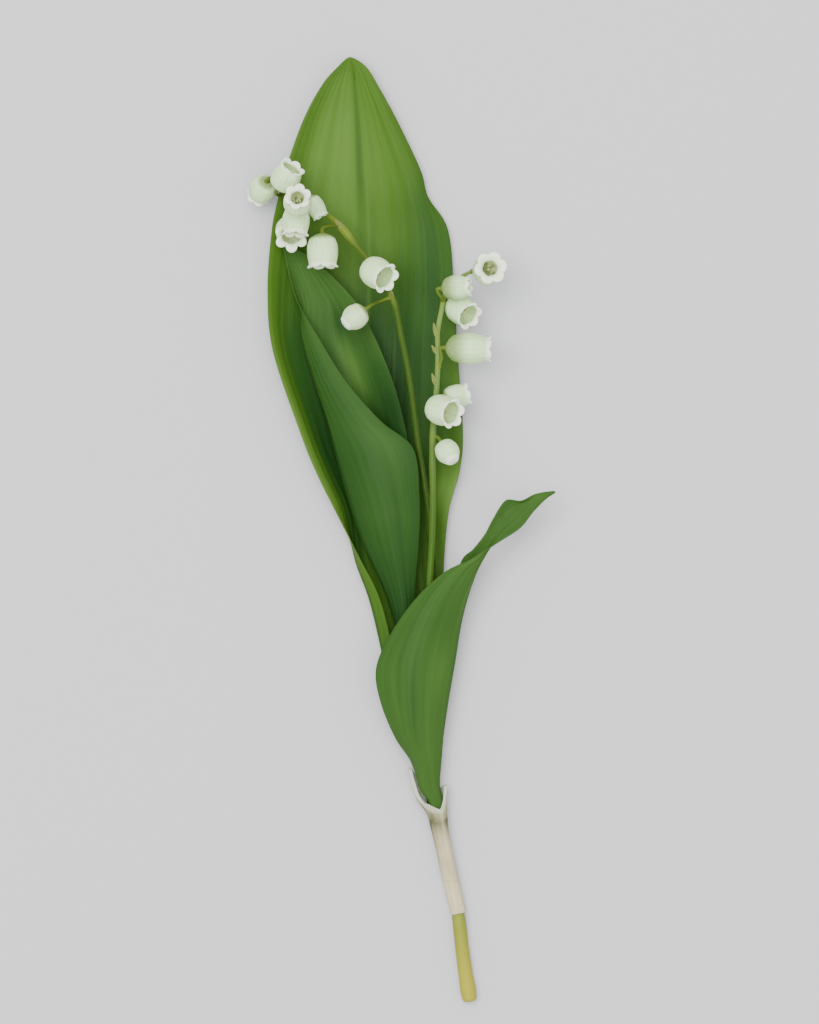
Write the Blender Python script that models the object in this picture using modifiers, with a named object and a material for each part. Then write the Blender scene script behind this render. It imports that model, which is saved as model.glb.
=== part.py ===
"""A cut spray of lily of the valley, lying on a surface.

Three leaves, two flowering stalks with nodding bells, and a short stem in a papery sheath. Units are
metres, +Z is up, +Y runs towards the leaf tips, and the origin is on the surface, in the middle of
the plant's footprint.
"""

import math

import bmesh
import bpy
import numpy as np
from mathutils import Vector

MM = 0.001

# Layout sheet. Places are given in steps of a quarter of a millimetre, x to the right and y down the
# sheet, as they are seen from EYE_HEIGHT above the middle of the sheet. Heights are in millimetres.
STEP = 0.25 * MM
EYE_HEIGHT = 1200 * MM
SHEET_MIDDLE = (409.5, 512.0)
ORIGIN = (399.0, 529.8)

# Driving dimensions in millimetres.
BLADE_THICKNESS = 0.7
LEAF_COLUMNS = 12
REST_HEIGHT = BLADE_THICKNESS / 2
REST_SLACK = 0.02
LEAF_FOOT_RADII = (1.58, 1.58)
FRONT_LEAF_FOOT_RADII = (1.58, 2.05)
SHEATH_WALL = 0.4
BELL_WALL = 0.65
BELL_RADIUS = 3.8
BELL_LIP_RADIUS = 4.02
BELL_LENGTH = 8.4
BELL_LOBES = 6
PISTIL_RADIUS = 0.55
PISTIL_FOOT_RADIUS = 0.66
PISTIL_LENGTH = 0.62 * BELL_LENGTH
BELL_STALK_RADIUS = 0.45
BELL_STALK_BEND = 1.1
SEAT_GAP = 0.3
BRACT_RADIUS = 0.55
BRACT_TIP_RADIUS = 0.11
BRACT_LENGTH = 3.4

# Colours (linear) and roughness of the pieces.
STEM_GREEN = ((0.44, 0.43, 0.17), 0.55)
SHEATH_CREAM = ((0.62, 0.60, 0.47), 0.8)
BACK_LEAF_GREEN = ((0.16, 0.28, 0.05), 0.5)
INNER_LEAF_GREEN = ((0.075, 0.18, 0.035), 0.5)
FRONT_LEAF_GREEN = ((0.09, 0.19, 0.04), 0.5)
STALK_GREEN = ((0.22, 0.30, 0.09), 0.55)
BELL_WHITE = ((0.66, 0.72, 0.58), 0.5)

# Middle line of the stem from its cut end up to the foot of the leaves: x, y, height.
STEM_LINE = (
    (470, 1001, 1.87), (466, 977, 2.0), (462, 948, 2.3), (458.5, 917, 2.6), (452.5, 888, 2.95),
    (446, 858, 3.35), (439.5, 830, 3.8), (435, 808, 4.2), (431.5, 786, 4.6), (428.5, 764, 5.0),
)
# Radius of the stem along its length: y, radius. It is slimmer inside the sheath.
STEM_RADII = (
    (1001, 1.35), (999.5, 1.7), (996, 1.86), (975, 1.8), (945, 1.68), (916.8, 1.62), (916.2, 0.9),
    (880, 0.9), (845, 0.9), (815, 0.85), (800, 0.85), (786, 0.85),
)

# Sheath: y, left edge, right edge, height of the middle, half depth.
SHEATH_LEVELS = (
    (914, 451, 466, 2.65, 1.9), (880, 442.5, 458.5, 3.05, 1.98), (850, 436, 452.5, 3.45, 2.05),
    (828, 430.5, 448.5, 3.85, 2.3), (812, 424.8, 447.2, 4.15, 2.75), (800, 416, 446.5, 4.4, 3.3),
    (784, 409.5, 446.5, 4.75, 3.95), (764, 407, 445, 5.0, 4.4),
)
# The foot of the sheath is cut a little aslant: its right side reaches this much further up, in y.
SHEATH_FOOT_TILT = 1.4
# Corners round the sheath, and y where the even tube ends and the flare to the lip begins.
SHEATH_COLUMNS = 18
SHEATH_MOUTH = 826
# Rings of the sheath, as shares of the way from its foot to its mouth and from its mouth to its lip.
SHEATH_RISES = np.array([0, 0.4, 0.75, 1])
SHEATH_FLARES = np.array([0.25, 0.5, 0.75, 1])
# Top edge of the sheath, every 30 degrees from the right hand side over the front: y.
SHEATH_LIP = (784, 800, 808, 806, 800, 779, 767, 772, 786, 792, 790, 785)

# Leaves: rows from foot to tip. Each row has five spots (x, y, height) from margin to margin. The two
# lowest rows wrap round the stem and are given by angles, 0 to the right and 90 to the front.
FOOT_LEVELS = (813, 801)
BACK_LEAF_FOOT = (233, 250, 266, 282, 297)
BACK_LEAF = (
    ((421, 786, 2.7), (423, 786, 2.35), (426, 785, 2.15), (431, 784, 2.1), (434, 784, 2.35)),
    ((411, 762, 3.7), (415, 762, 2.1), (422, 761, 1.4), (428, 760, 1.4), (433, 760, 2.2)),
    ((400, 737, 4.2), (404, 737, 2.0), (416, 735, 1.0), (427, 734, 1.2), (434, 733, 2.2)),
    ((393, 702, 4.8), (391, 702, 2.2), (408, 700, 0.7), (424, 699, 1.1), (435, 698, 2.3)),
    ((394, 660, 5.6), (384, 660, 2.8), (402, 658, 0.6), (421, 657, 1.1), (438, 656, 2.5)),
    ((381, 602, 6.4), (370.5, 601, 3.4), (393, 600, 0.1), (419, 600, 0.8), (443, 600, 3.0)),
    ((361, 560, 6.4), (357, 560, 3.0), (384, 560, -0.3), (415, 560, 0.7), (444, 560, 3.4)),
    ((335, 510, 7.0), (349, 510, 2.4), (376, 510, -0.5), (413, 510, 0.7), (449, 510, 3.8)),
    ((315, 470, 7.6), (333, 470, 2.7), (372, 470, -0.5), (416, 470, 0.9), (460, 470, 3.9)),
    ((299, 430, 8.2), (319, 430, 3.0), (368, 430, -0.6), (418, 430, 1.0), (463, 430, 4.0)),
    ((272, 350, 8.6), (297, 350, 3.4), (366, 350, -0.6), (420, 350, 1.4), (457.5, 350, 3.2)),
    ((267, 290, 7.8), (297, 290, 3.2), (367, 290, -0.4), (423, 290, 2.1), (454, 290, 2.2)),
    ((271.5, 230, 6.4), (303, 230, 2.9), (367, 230, 0.2), (421, 230, 2.8), (448, 230, 2.0)),
    ((278, 197, 6.2), (308, 197, 2.9), (366, 197, 0.9), (415, 197, 3.6), (428, 197, 2.4)),
    ((285, 170, 6.0), (314, 170, 3.0), (364, 170, 1.3), (408, 170, 3.9), (420.5, 170, 2.7)),
    ((303, 120, 5.8), (325, 118, 3.6), (360, 116, 2.3), (386, 118, 4.2), (397, 120, 3.5)),
    ((322, 85, 5.6), (337, 82, 4.3), (355, 80, 3.6), (370, 82, 4.7), (378.5, 86, 4.5)),
    ((338, 66.5, 5.7), (345, 65, 5.0), (352.5, 64, 4.8), (360, 65, 5.1), (366.5, 67, 5.2)),
    ((347, 58, 5.6), (348.5, 57.3, 5.5), (350, 57, 5.45), (351.5, 57.2, 5.5), (353, 57.8, 5.6)),
)
INNER_LEAF_FOOT = (200, 192, 184, 176, 168)
INNER_LEAF = (
    ((426, 785, 4.0), (424.5, 785, 4.4), (423.5, 785, 4.9), (424.5, 785, 5.3), (426, 785, 5.6)),
    ((427, 760, 3.9), (421.5, 760, 3.4), (416.5, 760, 4.6), (418, 760, 6.3), (424, 760, 7.0)),
    ((426, 735, 4.0), (419.5, 735, 3.0), (413, 735, 4.6), (415, 735, 7.0), (423, 735, 7.2)),
    ((424, 700, 4.3), (416, 700, 2.9), (408, 700, 4.8), (411, 700, 7.6), (421, 700, 7.6)),
    ((420, 655, 4.6), (412, 655, 2.9), (402, 655, 5.0), (407, 655, 8.2), (419, 655, 7.8)),
    ((413, 600, 5.2), (403, 602, 2.9), (388.5, 600, 5.4), (401, 599, 9.4), (415, 600, 8.3)),
    ((411, 545, 6.0), (389, 547, 2.8), (364, 545, 6.4), (389, 544, 11.4), (419, 545, 9.8)),
    ((411, 500, 6.6), (379, 502, 2.8), (349, 500, 7.0), (379, 499, 12.8), (420, 500, 11.0)),
    ((409, 450, 7.4), (367, 452, 2.9), (335, 450, 7.2), (361, 448, 12.4), (414, 449, 12.2)),
    ((404, 420, 7.8), (360, 422, 3.2), (328, 420, 7.0), (344, 418, 11.4), (381, 421, 12.6)),
    ((393, 380, 7.8), (350, 382, 3.5), (316, 380, 6.6), (323, 378, 10.2), (345, 380, 11.8)),
    ((374, 335, 7.4), (336, 337, 3.9), (304.5, 335, 6.0), (306.5, 334, 8.2), (316.5, 334, 9.8)),
    ((356, 302, 6.6), (329, 303, 4.3), (306, 302, 4.6), (299, 301, 5.8), (296.5, 300, 7.4)),
    ((323, 267, 6.2), (307, 266, 4.9), (295, 266, 4.8), (289.5, 266, 5.4), (286.5, 266, 6.2)),
    ((299, 250, 6.4), (293, 250, 5.8), (289, 250, 5.7), (286, 250, 5.9), (283.5, 250, 6.3)),
    ((284.5, 241, 6.6), (283.5, 240.6, 6.5), (282.5, 240.4, 6.5), (281.5, 240.6, 6.5), (280.5, 241, 6.6)),
)
FRONT_LEAF_FOOT = (135, 88, 25, -15, -42)
FRONT_LEAF = (
    ((419, 788, 6.2), (426, 787, 7.3), (438, 785, 5.7), (438.5, 784, 3.9), (437, 784, 2.9)),
    ((411.5, 763, 6.6), (421, 761, 9.4), (439, 760, 6.7), (440, 760, 4.5), (437, 760, 2.9)),
    ((394.5, 737, 7.6), (415, 735, 11.2), (441, 733, 7.6), (441.5, 732, 4.7), (438, 732, 2.8)),
    ((380, 701, 8.6), (412, 699, 12.4), (445.5, 698, 8.4), (446, 697, 5.1), (440, 697, 2.9)),
    ((376, 668, 9.4), (414, 663, 13.2), (452, 660, 8.9), (451, 659, 5.3), (442.5, 659, 3.1)),
    ((391, 633, 10.6), (424, 628, 14.0), (458, 625, 9.8), (456.5, 624, 6.0), (446, 623, 3.8)),
    ((416, 598, 12.2), (440, 595, 14.3), (465.5, 598, 10.8), (463, 596, 7.2), (452, 594, 4.8)),
    ((444, 572.5, 13.4), (460, 570, 14.0), (476, 572, 11.8), (471, 567, 8.8), (461, 561, 7.0)),
    ((467, 561, 13.6), (476, 559, 13.7), (484, 557, 12.4), (479, 551, 10.6), (473, 549, 9.8)),
    ((487, 549, 14.1), (490, 547, 13.6), (492, 543, 12.8), (488, 538, 11.9), (484.5, 534.5, 12.0)),
    ((504, 539, 14.3), (502, 534, 13.6), (499, 529, 12.8), (495.5, 523, 12.6), (493, 519, 13.3)),
    ((521, 527.5, 14.0), (517, 521, 13.3), (512, 514, 12.9), (508, 506, 13.2), (505.5, 500.5, 14.0)),
    ((534, 511.5, 13.4), (530, 507, 12.8), (526, 503, 12.5), (523.5, 501.5, 12.9), (521, 500.8, 13.6)),
    ((547, 498.5, 12.4), (545, 497, 12.1), (542.5, 496, 12.0), (538.5, 495, 12.1), (535, 494, 12.4)),
    ((556, 492.4, 11.4), (555.5, 492, 11.3), (555, 491.6, 11.3), (554.5, 491.2, 11.3), (554, 490.8, 11.4)),
)

# Flowering stalks from foot to tip: x, y, height, radius.
LEFT_STALK = (
    (433, 784, 3.95, 0.5), (434, 760, 4.5, 0.62), (435, 735, 5.3, 0.7), (436.5, 700, 6.3, 0.75),
    (436, 660, 7.2, 0.75), (435.5, 620, 7.9, 0.75), (434, 575, 8.2, 0.75), (430.5, 540, 8.4, 0.75),
    (428, 505, 8.5, 0.75), (424, 480, 8.7, 0.75), (419, 450, 9.2, 0.75), (414, 410, 10.0, 0.75),
    (408, 370, 10.9, 0.75), (401, 335, 11.6, 0.75), (393, 300, 12.1, 0.78), (387, 288, 12.0, 0.72),
    (377, 270, 11.6, 0.7), (365, 256, 11.2, 0.7), (354, 243, 10.6, 0.8), (344, 230.5, 10.0, 0.98),
    (335, 221.5, 9.0, 0.8), (326, 214, 8.2, 0.58), (314, 204, 7.8, 0.52), (300, 194, 8.0, 0.48),
    (287, 187, 8.6, 0.42),
)
RIGHT_STALK = (
    (431.5, 784, 5.25, 0.5), (431, 760, 6.2, 0.66), (432, 735, 7.4, 0.74), (431.5, 700, 8.4, 0.78),
    (430.5, 660, 9.4, 0.8), (430, 620, 9.9, 0.8), (430, 580, 10.3, 0.8), (432, 540, 11.0, 0.8),
    (433, 500, 11.8, 0.8), (432.5, 460, 12.6, 0.8), (433, 430, 13.0, 0.76), (436.5, 390, 13.0, 0.68),
    (438, 350, 13.0, 0.64), (437.5, 335, 13.0, 0.62), (441.5, 310, 12.5, 0.58), (444.5, 295, 11.5, 0.54),
    (450, 284, 10.4, 0.5), (461, 277, 10.2, 0.46), (472, 271, 10.2, 0.42),
)

# Bells: middle (x, y, height), the way the mouth faces (right, up the sheet, towards the front), size,
# stretch of the length, how far the mouth is open, and the route of the bell's own stalk.
LEFT_BELLS = (
    ((355, 317, 17.0), (-0.75, -0.55, 0.1), 0.8, 1.0, 0.2, ((391, 297, 12.1), (379, 302, 13.6))),
    ((376, 272.5, 17.8), (0.62, -0.40, 0.67), 1.0, 0.93, 1, ((371, 263, 11.4), (366, 264, 12.6))),
    ((322.5, 250, 13.6), (0.02, -1.0, 0.05), 1.0, 1.0, 1, ((341, 226.5, 9.6), (330, 226, 12.4))),
    ((291.5, 231, 10.2), (0.0, -0.4, 0.92), 1.04, 0.78, 1, ((307, 199, 7.8), (301, 211, 6.6))),
    ((296, 220, 19.4), (-0.05, -0.98, 0.15), 0.87, 1.0, 1, ((302, 195.5, 8.0), (297, 193, 14.5))),
    ((297.5, 202, 28.6), (0.02, 0.25, 0.97), 0.9, 1.0, 1, ((300, 195.5, 7.9), (289.5, 199, 20.5))),
    ((315.5, 206.5, 13.2), (0.47, -0.88, 0.05), 0.58, 1.25, 0.85, ((307, 199, 7.8), (304, 190, 10.4))),
    ((285.5, 178, 15.4), (0.48, 0.70, 0.5), 0.94, 0.92, 0.85, ((289, 188, 8.5), (281, 195, 10.0))),
    ((262.5, 188.5, 9.8), (-0.33, -0.45, -0.83), 0.88, 0.95, 0.8, ((288, 187.5, 8.6), (278, 178.5, 10.5))),
)
RIGHT_BELLS = (
    ((447.5, 452, 16.0), (0.45, -0.72, 0.5), 0.77, 1.0, 0.2, ((433, 437, 12.9), (437, 437, 13.4))),
    ((441.5, 410, 18.6), (0.66, -0.22, 0.72), 0.98, 1.0, 1, ((435, 403, 13.0), (430.5, 403, 14.0))),
    ((455.5, 397, 11.4), (0.88, 0.25, -0.1), 0.8, 0.95, 1, ((435.5, 399, 13.0), (440, 401, 12.2))),
    ((468.5, 348.5, 15.0), (1.0, -0.03, 0.02), 1.0, 1.36, 0.8, ((438.5, 367, 13.0), (441.5, 358, 14.2))),
    ((460.5, 309.5, 11.0), (0.55, -0.45, 0.7), 0.94, 1.0, 1, ((443, 303, 12.0), (445, 300, 8.0))),
    ((456, 287.5, 16.2), (0.95, 0.06, 0.2), 0.8, 1.08, 0.7, ((443, 301, 12.0), (441, 297, 14.2))),
    ((488, 270, 14.6), (0.12, 0.06, 0.98), 0.98, 1.0, 1, ((471, 271.5, 10.2), (480, 272, 9.2))),
)
# Small bracts on the right stalk: foot on the stalk (x, y, height) and the way they point.
BRACTS = (
    ((437, 338, 13.4), (-0.22, 0.93, 0.3)), ((437, 354, 13.3), (-0.5, 0.82, 0.3)),
    ((436, 386, 13.3), (-0.3, 0.93, 0.25)),
)


def place(spots):
    """Layout spots as points in metres: a spot at height h is drawn in towards the line under the eye."""
    spots = np.asarray(spots, dtype=float)
    height = spots[..., 2] * MM
    nearer = 1 - height / EYE_HEIGHT
    across = (spots[..., 0] - SHEET_MIDDLE[0]) * nearer + SHEET_MIDDLE[0] - ORIGIN[0]
    along = (SHEET_MIDDLE[1] - spots[..., 1]) * nearer + ORIGIN[1] - SHEET_MIDDLE[1]
    return np.stack((across * STEP, along * STEP, height), axis=-1)


def smooth(rows, at, knots=None):
    """Curve through rows, one at each knot, read at the values at.

    Each span is a cubic whose end slopes are those of the neighbouring rows.
    """
    rows = np.asarray(rows, dtype=float)
    knots = np.linspace(0, 1, len(rows)) if knots is None else np.asarray(knots, dtype=float)
    at = np.atleast_1d(np.asarray(at, dtype=float))
    slopes = np.gradient(rows, knots, axis=0)
    span = np.clip(np.searchsorted(knots, at, side="right") - 1, 0, len(rows) - 2)
    shape = (-1,) + (1,) * (rows.ndim - 1)
    width = (knots[span + 1] - knots[span]).reshape(shape)
    part = (at - knots[span]).reshape(shape) / width
    start = (1 + 2 * part) * (1 - part) ** 2 * rows[span] + part * (1 - part) ** 2 * width * slopes[span]
    end = part**2 * (3 - 2 * part) * rows[span + 1] + part**2 * (part - 1) * width * slopes[span + 1]
    return start + end


def by_level(table, levels):
    """Rows of a table whose first column is y, read at the given y values."""
    table = np.asarray(table, dtype=float)
    table = table[np.argsort(table[:, 0])]
    return smooth(table[:, 1:], levels, table[:, 0])


def stem_middle(levels):
    """x and height of the stem's middle line at the given y values."""
    return by_level([(y, x, z) for x, y, z in STEM_LINE], levels)


def wrap(level, radius, angles):
    """Spots of a leaf's foot where it wraps round the stem at one level."""
    x, z = stem_middle(level)[0]
    turn = np.radians(angles)
    reach = radius * MM / STEP
    return [(x + reach * math.cos(a), level, z + radius * math.sin(a)) for a in turn]


def material(name, finish):
    """A plain shaded material."""
    colour, roughness = finish
    made = bpy.data.materials.new(name)
    made.use_nodes = True
    shader = made.node_tree.nodes["Principled BSDF"]
    shader.inputs["Base Color"].default_value = (*colour, 1)
    shader.inputs["Roughness"].default_value = roughness
    shader.inputs["Metallic"].default_value = 0
    made.diffuse_color = (*colour, 1)
    return made


def finish_mesh(mesh, sheet):
    """Write a bmesh into a mesh, with its faces turned outward and shaded smooth."""
    bmesh.ops.recalc_face_normals(sheet, faces=sheet.faces)
    sheet.to_mesh(mesh)
    sheet.free()
    mesh.shade_smooth()
    return mesh


def grid_mesh(name, points, merge=False):
    """A grid primitive whose corners are moved to points[row, column], split into triangles."""
    rows, columns = points.shape[0] - 1, points.shape[1] - 1
    sheet = bmesh.new()
    bmesh.ops.create_grid(sheet, x_segments=columns, y_segments=rows, size=1)
    for vert in sheet.verts:
        row = round((vert.co.y + 1) / 2 * rows)
        column = round((vert.co.x + 1) / 2 * columns)
        vert.co = points[row, column]
    if merge:
        bmesh.ops.remove_doubles(sheet, verts=sheet.verts, dist=1e-6)
    bmesh.ops.triangulate(sheet, faces=sheet.faces)
    return finish_mesh(bpy.data.meshes.new(name), sheet)


def add(collection, name, data, finish):
    """A new object in a collection, with its own material."""
    piece = bpy.data.objects.new(name, data)
    collection.objects.link(piece)
    data.materials.append(material(name, finish))
    return piece


def thicken(piece, thickness, offset):
    """Give an open surface its thickness."""
    solidify = piece.modifiers.new("thickness", "SOLIDIFY")
    solidify.thickness = thickness * MM
    solidify.offset = offset
    solidify.use_even_offset = True


def bake(piece):
    """Put a piece's evaluated mesh in place of its mesh and modifiers."""
    bpy.context.view_layer.update()
    evaluated = piece.evaluated_get(bpy.context.evaluated_depsgraph_get())
    baked = bpy.data.meshes.new_from_object(evaluated)
    piece.modifiers.clear()
    name = piece.data.name
    piece.data = baked
    baked.name = name


def leaf(collection, name, foot, rows, finish, radii=LEAF_FOOT_RADII, floor=None):
    """A leaf blade: a smooth surface through its rows, no lower than floor where it rests.

    What lies within REST_SLACK of the surface is pressed quite flat onto it.
    """
    stations = place([wrap(level, radius, foot) for level, radius in zip(FOOT_LEVELS, radii)] + list(rows))
    lengthwise = np.linspace(0, 1, 2 * len(stations) - 1)
    ribs = smooth(stations, lengthwise)
    points = smooth(ribs.transpose(1, 0, 2), np.linspace(0, 1, LEAF_COLUMNS + 1)).transpose(1, 0, 2)
    if floor is not None:
        points[..., 2] = np.maximum(points[..., 2], floor * MM)
    piece = add(collection, name, grid_mesh(name, points), finish)
    thicken(piece, BLADE_THICKNESS, 0)
    if floor is not None:
        bake(piece)
        for vert in piece.data.vertices:
            if vert.co.z < REST_SLACK * MM:
                vert.co.z = 0
    return piece


def tube(name, points, radii, resolution):
    """A curve object of round section with filled caps."""
    curve = bpy.data.curves.new(name, "CURVE")
    curve.dimensions = "3D"
    curve.bevel_depth = MM
    curve.bevel_resolution = resolution
    curve.use_fill_caps = True
    curve.twist_mode = "MINIMUM"
    spline = curve.splines.new("POLY")
    spline.points.add(len(points) - 1)
    for knot, point, radius in zip(spline.points, points, radii):
        knot.co = (*point, 1)
        knot.radius = radius
    curve.resolution_u = 1
    return bpy.data.objects.new(name, curve)


def as_mesh(collection, curve_object):
    """The mesh of a curve object with its caps welded, in place of the curve."""
    collection.objects.link(curve_object)
    bpy.context.view_layer.update()
    evaluated = curve_object.evaluated_get(bpy.context.evaluated_depsgraph_get())
    mesh = bpy.data.meshes.new_from_object(evaluated)
    sheet = bmesh.new()
    sheet.from_mesh(mesh)
    bmesh.ops.remove_doubles(sheet, verts=sheet.verts, dist=1e-6)
    finish_mesh(mesh, sheet)
    made = bpy.data.objects.new(curve_object.name + "_solid", mesh)
    made.matrix_world = curve_object.matrix_world
    collection.objects.link(made)
    bpy.data.objects.remove(curve_object)
    return made


def unite(piece, extras):
    """Join the objects of a collection to a piece in one union, and remove them."""
    union = piece.modifiers.new("union", "BOOLEAN")
    union.operation = "UNION"
    union.operand_type = "COLLECTION"
    union.collection = extras
    union.solver = "EXACT"
    bake(piece)
    for extra in list(extras.objects):
        bpy.data.objects.remove(extra)


def facing(direction):
    """Unit vector of a facing given as right, up the sheet and towards the front."""
    return Vector(direction).normalized()


def crown(bell):
    """Middle of a bell's crown, where its stalk meets it, and the way the bell faces."""
    middle, direction, size, stretch, _opening, _route = bell
    way = facing(direction)
    return Vector(place(middle)) - way * (size * stretch * BELL_LENGTH * MM / 2), way


def bell_points(size, stretch, opening):
    """Rings of a bell from crown to lip: two corners to a lobe, one at its tip and one in the notch."""
    around = np.linspace(0, 2 * math.pi, 2 * BELL_LOBES + 1)
    tip = (1 + np.cos(BELL_LOBES * around)) / 2
    profile = (
        (0.0, 0.0), (0.26, 0.012), (0.66, 0.10), (0.93, 0.30), (1.0, 0.56), (0.82 + 0.13 * opening, 0.82),
    )
    rings = [(np.full_like(around, r * BELL_RADIUS), np.full_like(around, h)) for r, h in profile]
    notch_radius = (0.36 + 0.61 * opening) * BELL_RADIUS
    lip_radius = notch_radius + (BELL_LIP_RADIUS - 0.97 * BELL_RADIUS) * opening * tip
    rings.append((lip_radius, 0.94 + 0.06 * tip))
    radius = np.array([ring[0] for ring in rings]) * size
    height = np.array([ring[1] for ring in rings]) * size * stretch * BELL_LENGTH
    points = np.stack((radius * np.cos(around), radius * np.sin(around), height), axis=-1)
    points[:, -1] = points[:, 0]
    return points * MM


def bell(collection, scratch, name, row):
    """A bell of six lobes, open at its mouth, with its pistil standing in the crown."""
    _middle, _direction, size, stretch, opening, _route = row
    foot, way = crown(row)
    points = bell_points(size, stretch, opening)
    piece = add(collection, name, grid_mesh(name, points, merge=True), BELL_WHITE)
    thicken(piece, BELL_WALL, -1)
    sheet = bmesh.new()
    length = PISTIL_LENGTH * size * stretch * MM
    bmesh.ops.create_cone(
        sheet, cap_ends=True, segments=6, radius1=PISTIL_FOOT_RADIUS * MM, radius2=PISTIL_RADIUS * MM,
        depth=length,
    )
    bmesh.ops.translate(sheet, vec=(0, 0, length / 2 + BELL_WALL * MM / 2), verts=sheet.verts)
    scratch.objects.link(bpy.data.objects.new("pistil", finish_mesh(bpy.data.meshes.new("pistil"), sheet)))
    unite(piece, scratch)
    piece.location = foot
    piece.rotation_mode = "QUATERNION"
    piece.rotation_quaternion = way.to_track_quat("Z", "Y")
    return piece


def flower_stalk(collection, scratch, name, line, bells, bracts):
    """A main stalk with the short stalks of its bells, and its bracts, as one piece."""
    line = np.asarray(line, dtype=float)
    main = tube(name, place(line[:, :3]), line[:, 3], 2)
    piece = as_mesh(collection, main)
    piece.name = name
    piece.data.materials.append(material(name, STALK_GREEN))
    for number, row in enumerate(bells):
        foot, way = crown(row)
        start, bend = place(row[5])
        arrival = [foot - way * (reach * MM) for reach in (BELL_STALK_BEND, SEAT_GAP)]
        route = np.array([start, bend, *arrival])
        knots = np.cumsum([0, *np.linalg.norm(np.diff(route, axis=0), axis=1)])
        points = smooth(route, [*np.linspace(0, knots[-2], 7), knots[-1]], knots)
        as_mesh(scratch, tube(f"bell_stalk_{number}", points, [BELL_STALK_RADIUS] * 8, 1))
    for foot, direction in bracts:
        sheet = bmesh.new()
        bmesh.ops.create_cone(
            sheet, cap_ends=True, segments=6, radius1=BRACT_RADIUS * MM,
            radius2=BRACT_TIP_RADIUS * MM, depth=BRACT_LENGTH * MM,
        )
        bract = bpy.data.objects.new("bract", finish_mesh(bpy.data.meshes.new("bract"), sheet))
        way = facing(direction)
        bract.rotation_mode = "QUATERNION"
        bract.rotation_quaternion = way.to_track_quat("Z", "Y")
        bract.location = Vector(place(foot)) + way * (BRACT_LENGTH * MM / 2)
        scratch.objects.link(bract)
    unite(piece, scratch)
    return piece


def stem(collection):
    """The cut stem, rounded at its end and slimmer inside the sheath."""
    levels = np.array([level for level, _radius in STEM_RADII], dtype=float)
    middle = stem_middle(levels)
    points = place(np.column_stack((middle[:, 0], levels, middle[:, 1])))
    piece = tube("stem", points, [radius for _level, radius in STEM_RADII], 3)
    collection.objects.link(piece)
    piece.data.materials.append(material("stem", STEM_GREEN))
    return piece


def sheath(collection):
    """The papery tube round the stem, flaring to a ragged lip round the foot of the leaves."""
    around = np.linspace(0, 2 * math.pi, SHEATH_COLUMNS + 1)
    lip_angles = np.linspace(0, 2 * math.pi, len(SHEATH_LIP) + 1)
    lip = smooth(np.array([*SHEATH_LIP, SHEATH_LIP[0]], dtype=float)[:, None], around, lip_angles)[:, 0]
    foot = SHEATH_LEVELS[0][0] - SHEATH_FOOT_TILT * np.cos(around)
    levels = [foot + (SHEATH_MOUTH - foot) * rise for rise in SHEATH_RISES]
    levels += [SHEATH_MOUTH + (lip - SHEATH_MOUTH) * flare for flare in SHEATH_FLARES]
    points = []
    for level in levels:
        left, right, height, depth = by_level(SHEATH_LEVELS, level).T
        x = (left + right) / 2 + (right - left) / 2 * np.cos(around)
        points.append(np.column_stack((x, level, height + depth * np.sin(around))))
    points = place(points)
    points[:, -1] = points[:, 0]
    piece = add(collection, "sheath", grid_mesh("sheath", points, merge=True), SHEATH_CREAM)
    thicken(piece, SHEATH_WALL, -1)
    return piece


def main():
    """Build the spray."""
    for old in list(bpy.data.objects):
        bpy.data.objects.remove(old)
    plant = bpy.data.collections.new("lily_of_the_valley")
    scratch = bpy.data.collections.new("joins")
    bpy.context.scene.collection.children.link(plant)
    bpy.context.scene.collection.children.link(scratch)
    stem(plant)
    sheath(plant)
    leaf(plant, "leaf_back", BACK_LEAF_FOOT, BACK_LEAF, BACK_LEAF_GREEN, floor=REST_HEIGHT)
    leaf(plant, "leaf_inner", INNER_LEAF_FOOT, INNER_LEAF, INNER_LEAF_GREEN)
    leaf(plant, "leaf_front", FRONT_LEAF_FOOT, FRONT_LEAF, FRONT_LEAF_GREEN, FRONT_LEAF_FOOT_RADII)
    flower_stalk(plant, scratch, "flower_stalk_left", LEFT_STALK, LEFT_BELLS, ())
    flower_stalk(plant, scratch, "flower_stalk_right", RIGHT_STALK, RIGHT_BELLS, BRACTS)
    for number, row in enumerate(LEFT_BELLS, 1):
        bell(plant, scratch, f"bell_left_{number}", row)
    for number, row in enumerate(RIGHT_BELLS, 1):
        bell(plant, scratch, f"bell_right_{number}", row)


main()
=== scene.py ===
"""The looks of a cut spray of lily of the valley, lying on a pale surface.

Each sub-part is a class: a leaf blade, a bell, a flower stalk, the sheath and the stem. Its sizes are
dataclass fields, and its methods work out the mesh and dress it. Units are metres, +Z is up, and +Y
runs towards the leaf tips.
"""

import logging
import math
from dataclasses import dataclass, field, replace
from enum import Enum

import bmesh
import bpy
import numpy as np
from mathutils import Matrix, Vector


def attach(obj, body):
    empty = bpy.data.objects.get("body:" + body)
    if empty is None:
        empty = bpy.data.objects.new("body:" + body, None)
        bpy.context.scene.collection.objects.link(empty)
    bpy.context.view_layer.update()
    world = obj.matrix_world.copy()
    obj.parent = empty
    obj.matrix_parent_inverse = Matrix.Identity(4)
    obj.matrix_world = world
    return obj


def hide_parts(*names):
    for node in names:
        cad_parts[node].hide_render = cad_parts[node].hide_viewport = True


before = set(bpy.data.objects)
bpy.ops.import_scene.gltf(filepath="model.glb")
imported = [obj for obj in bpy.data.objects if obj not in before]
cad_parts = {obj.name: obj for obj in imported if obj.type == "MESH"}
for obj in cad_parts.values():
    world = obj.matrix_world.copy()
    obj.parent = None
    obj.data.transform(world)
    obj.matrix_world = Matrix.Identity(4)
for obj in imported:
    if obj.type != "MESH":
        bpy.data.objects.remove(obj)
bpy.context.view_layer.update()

MM = 0.001
FULL_TURN = 2 * math.pi
UV_NAME = "surface"
BODY = "root"
log = logging.getLogger("lily_of_the_valley")

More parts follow.
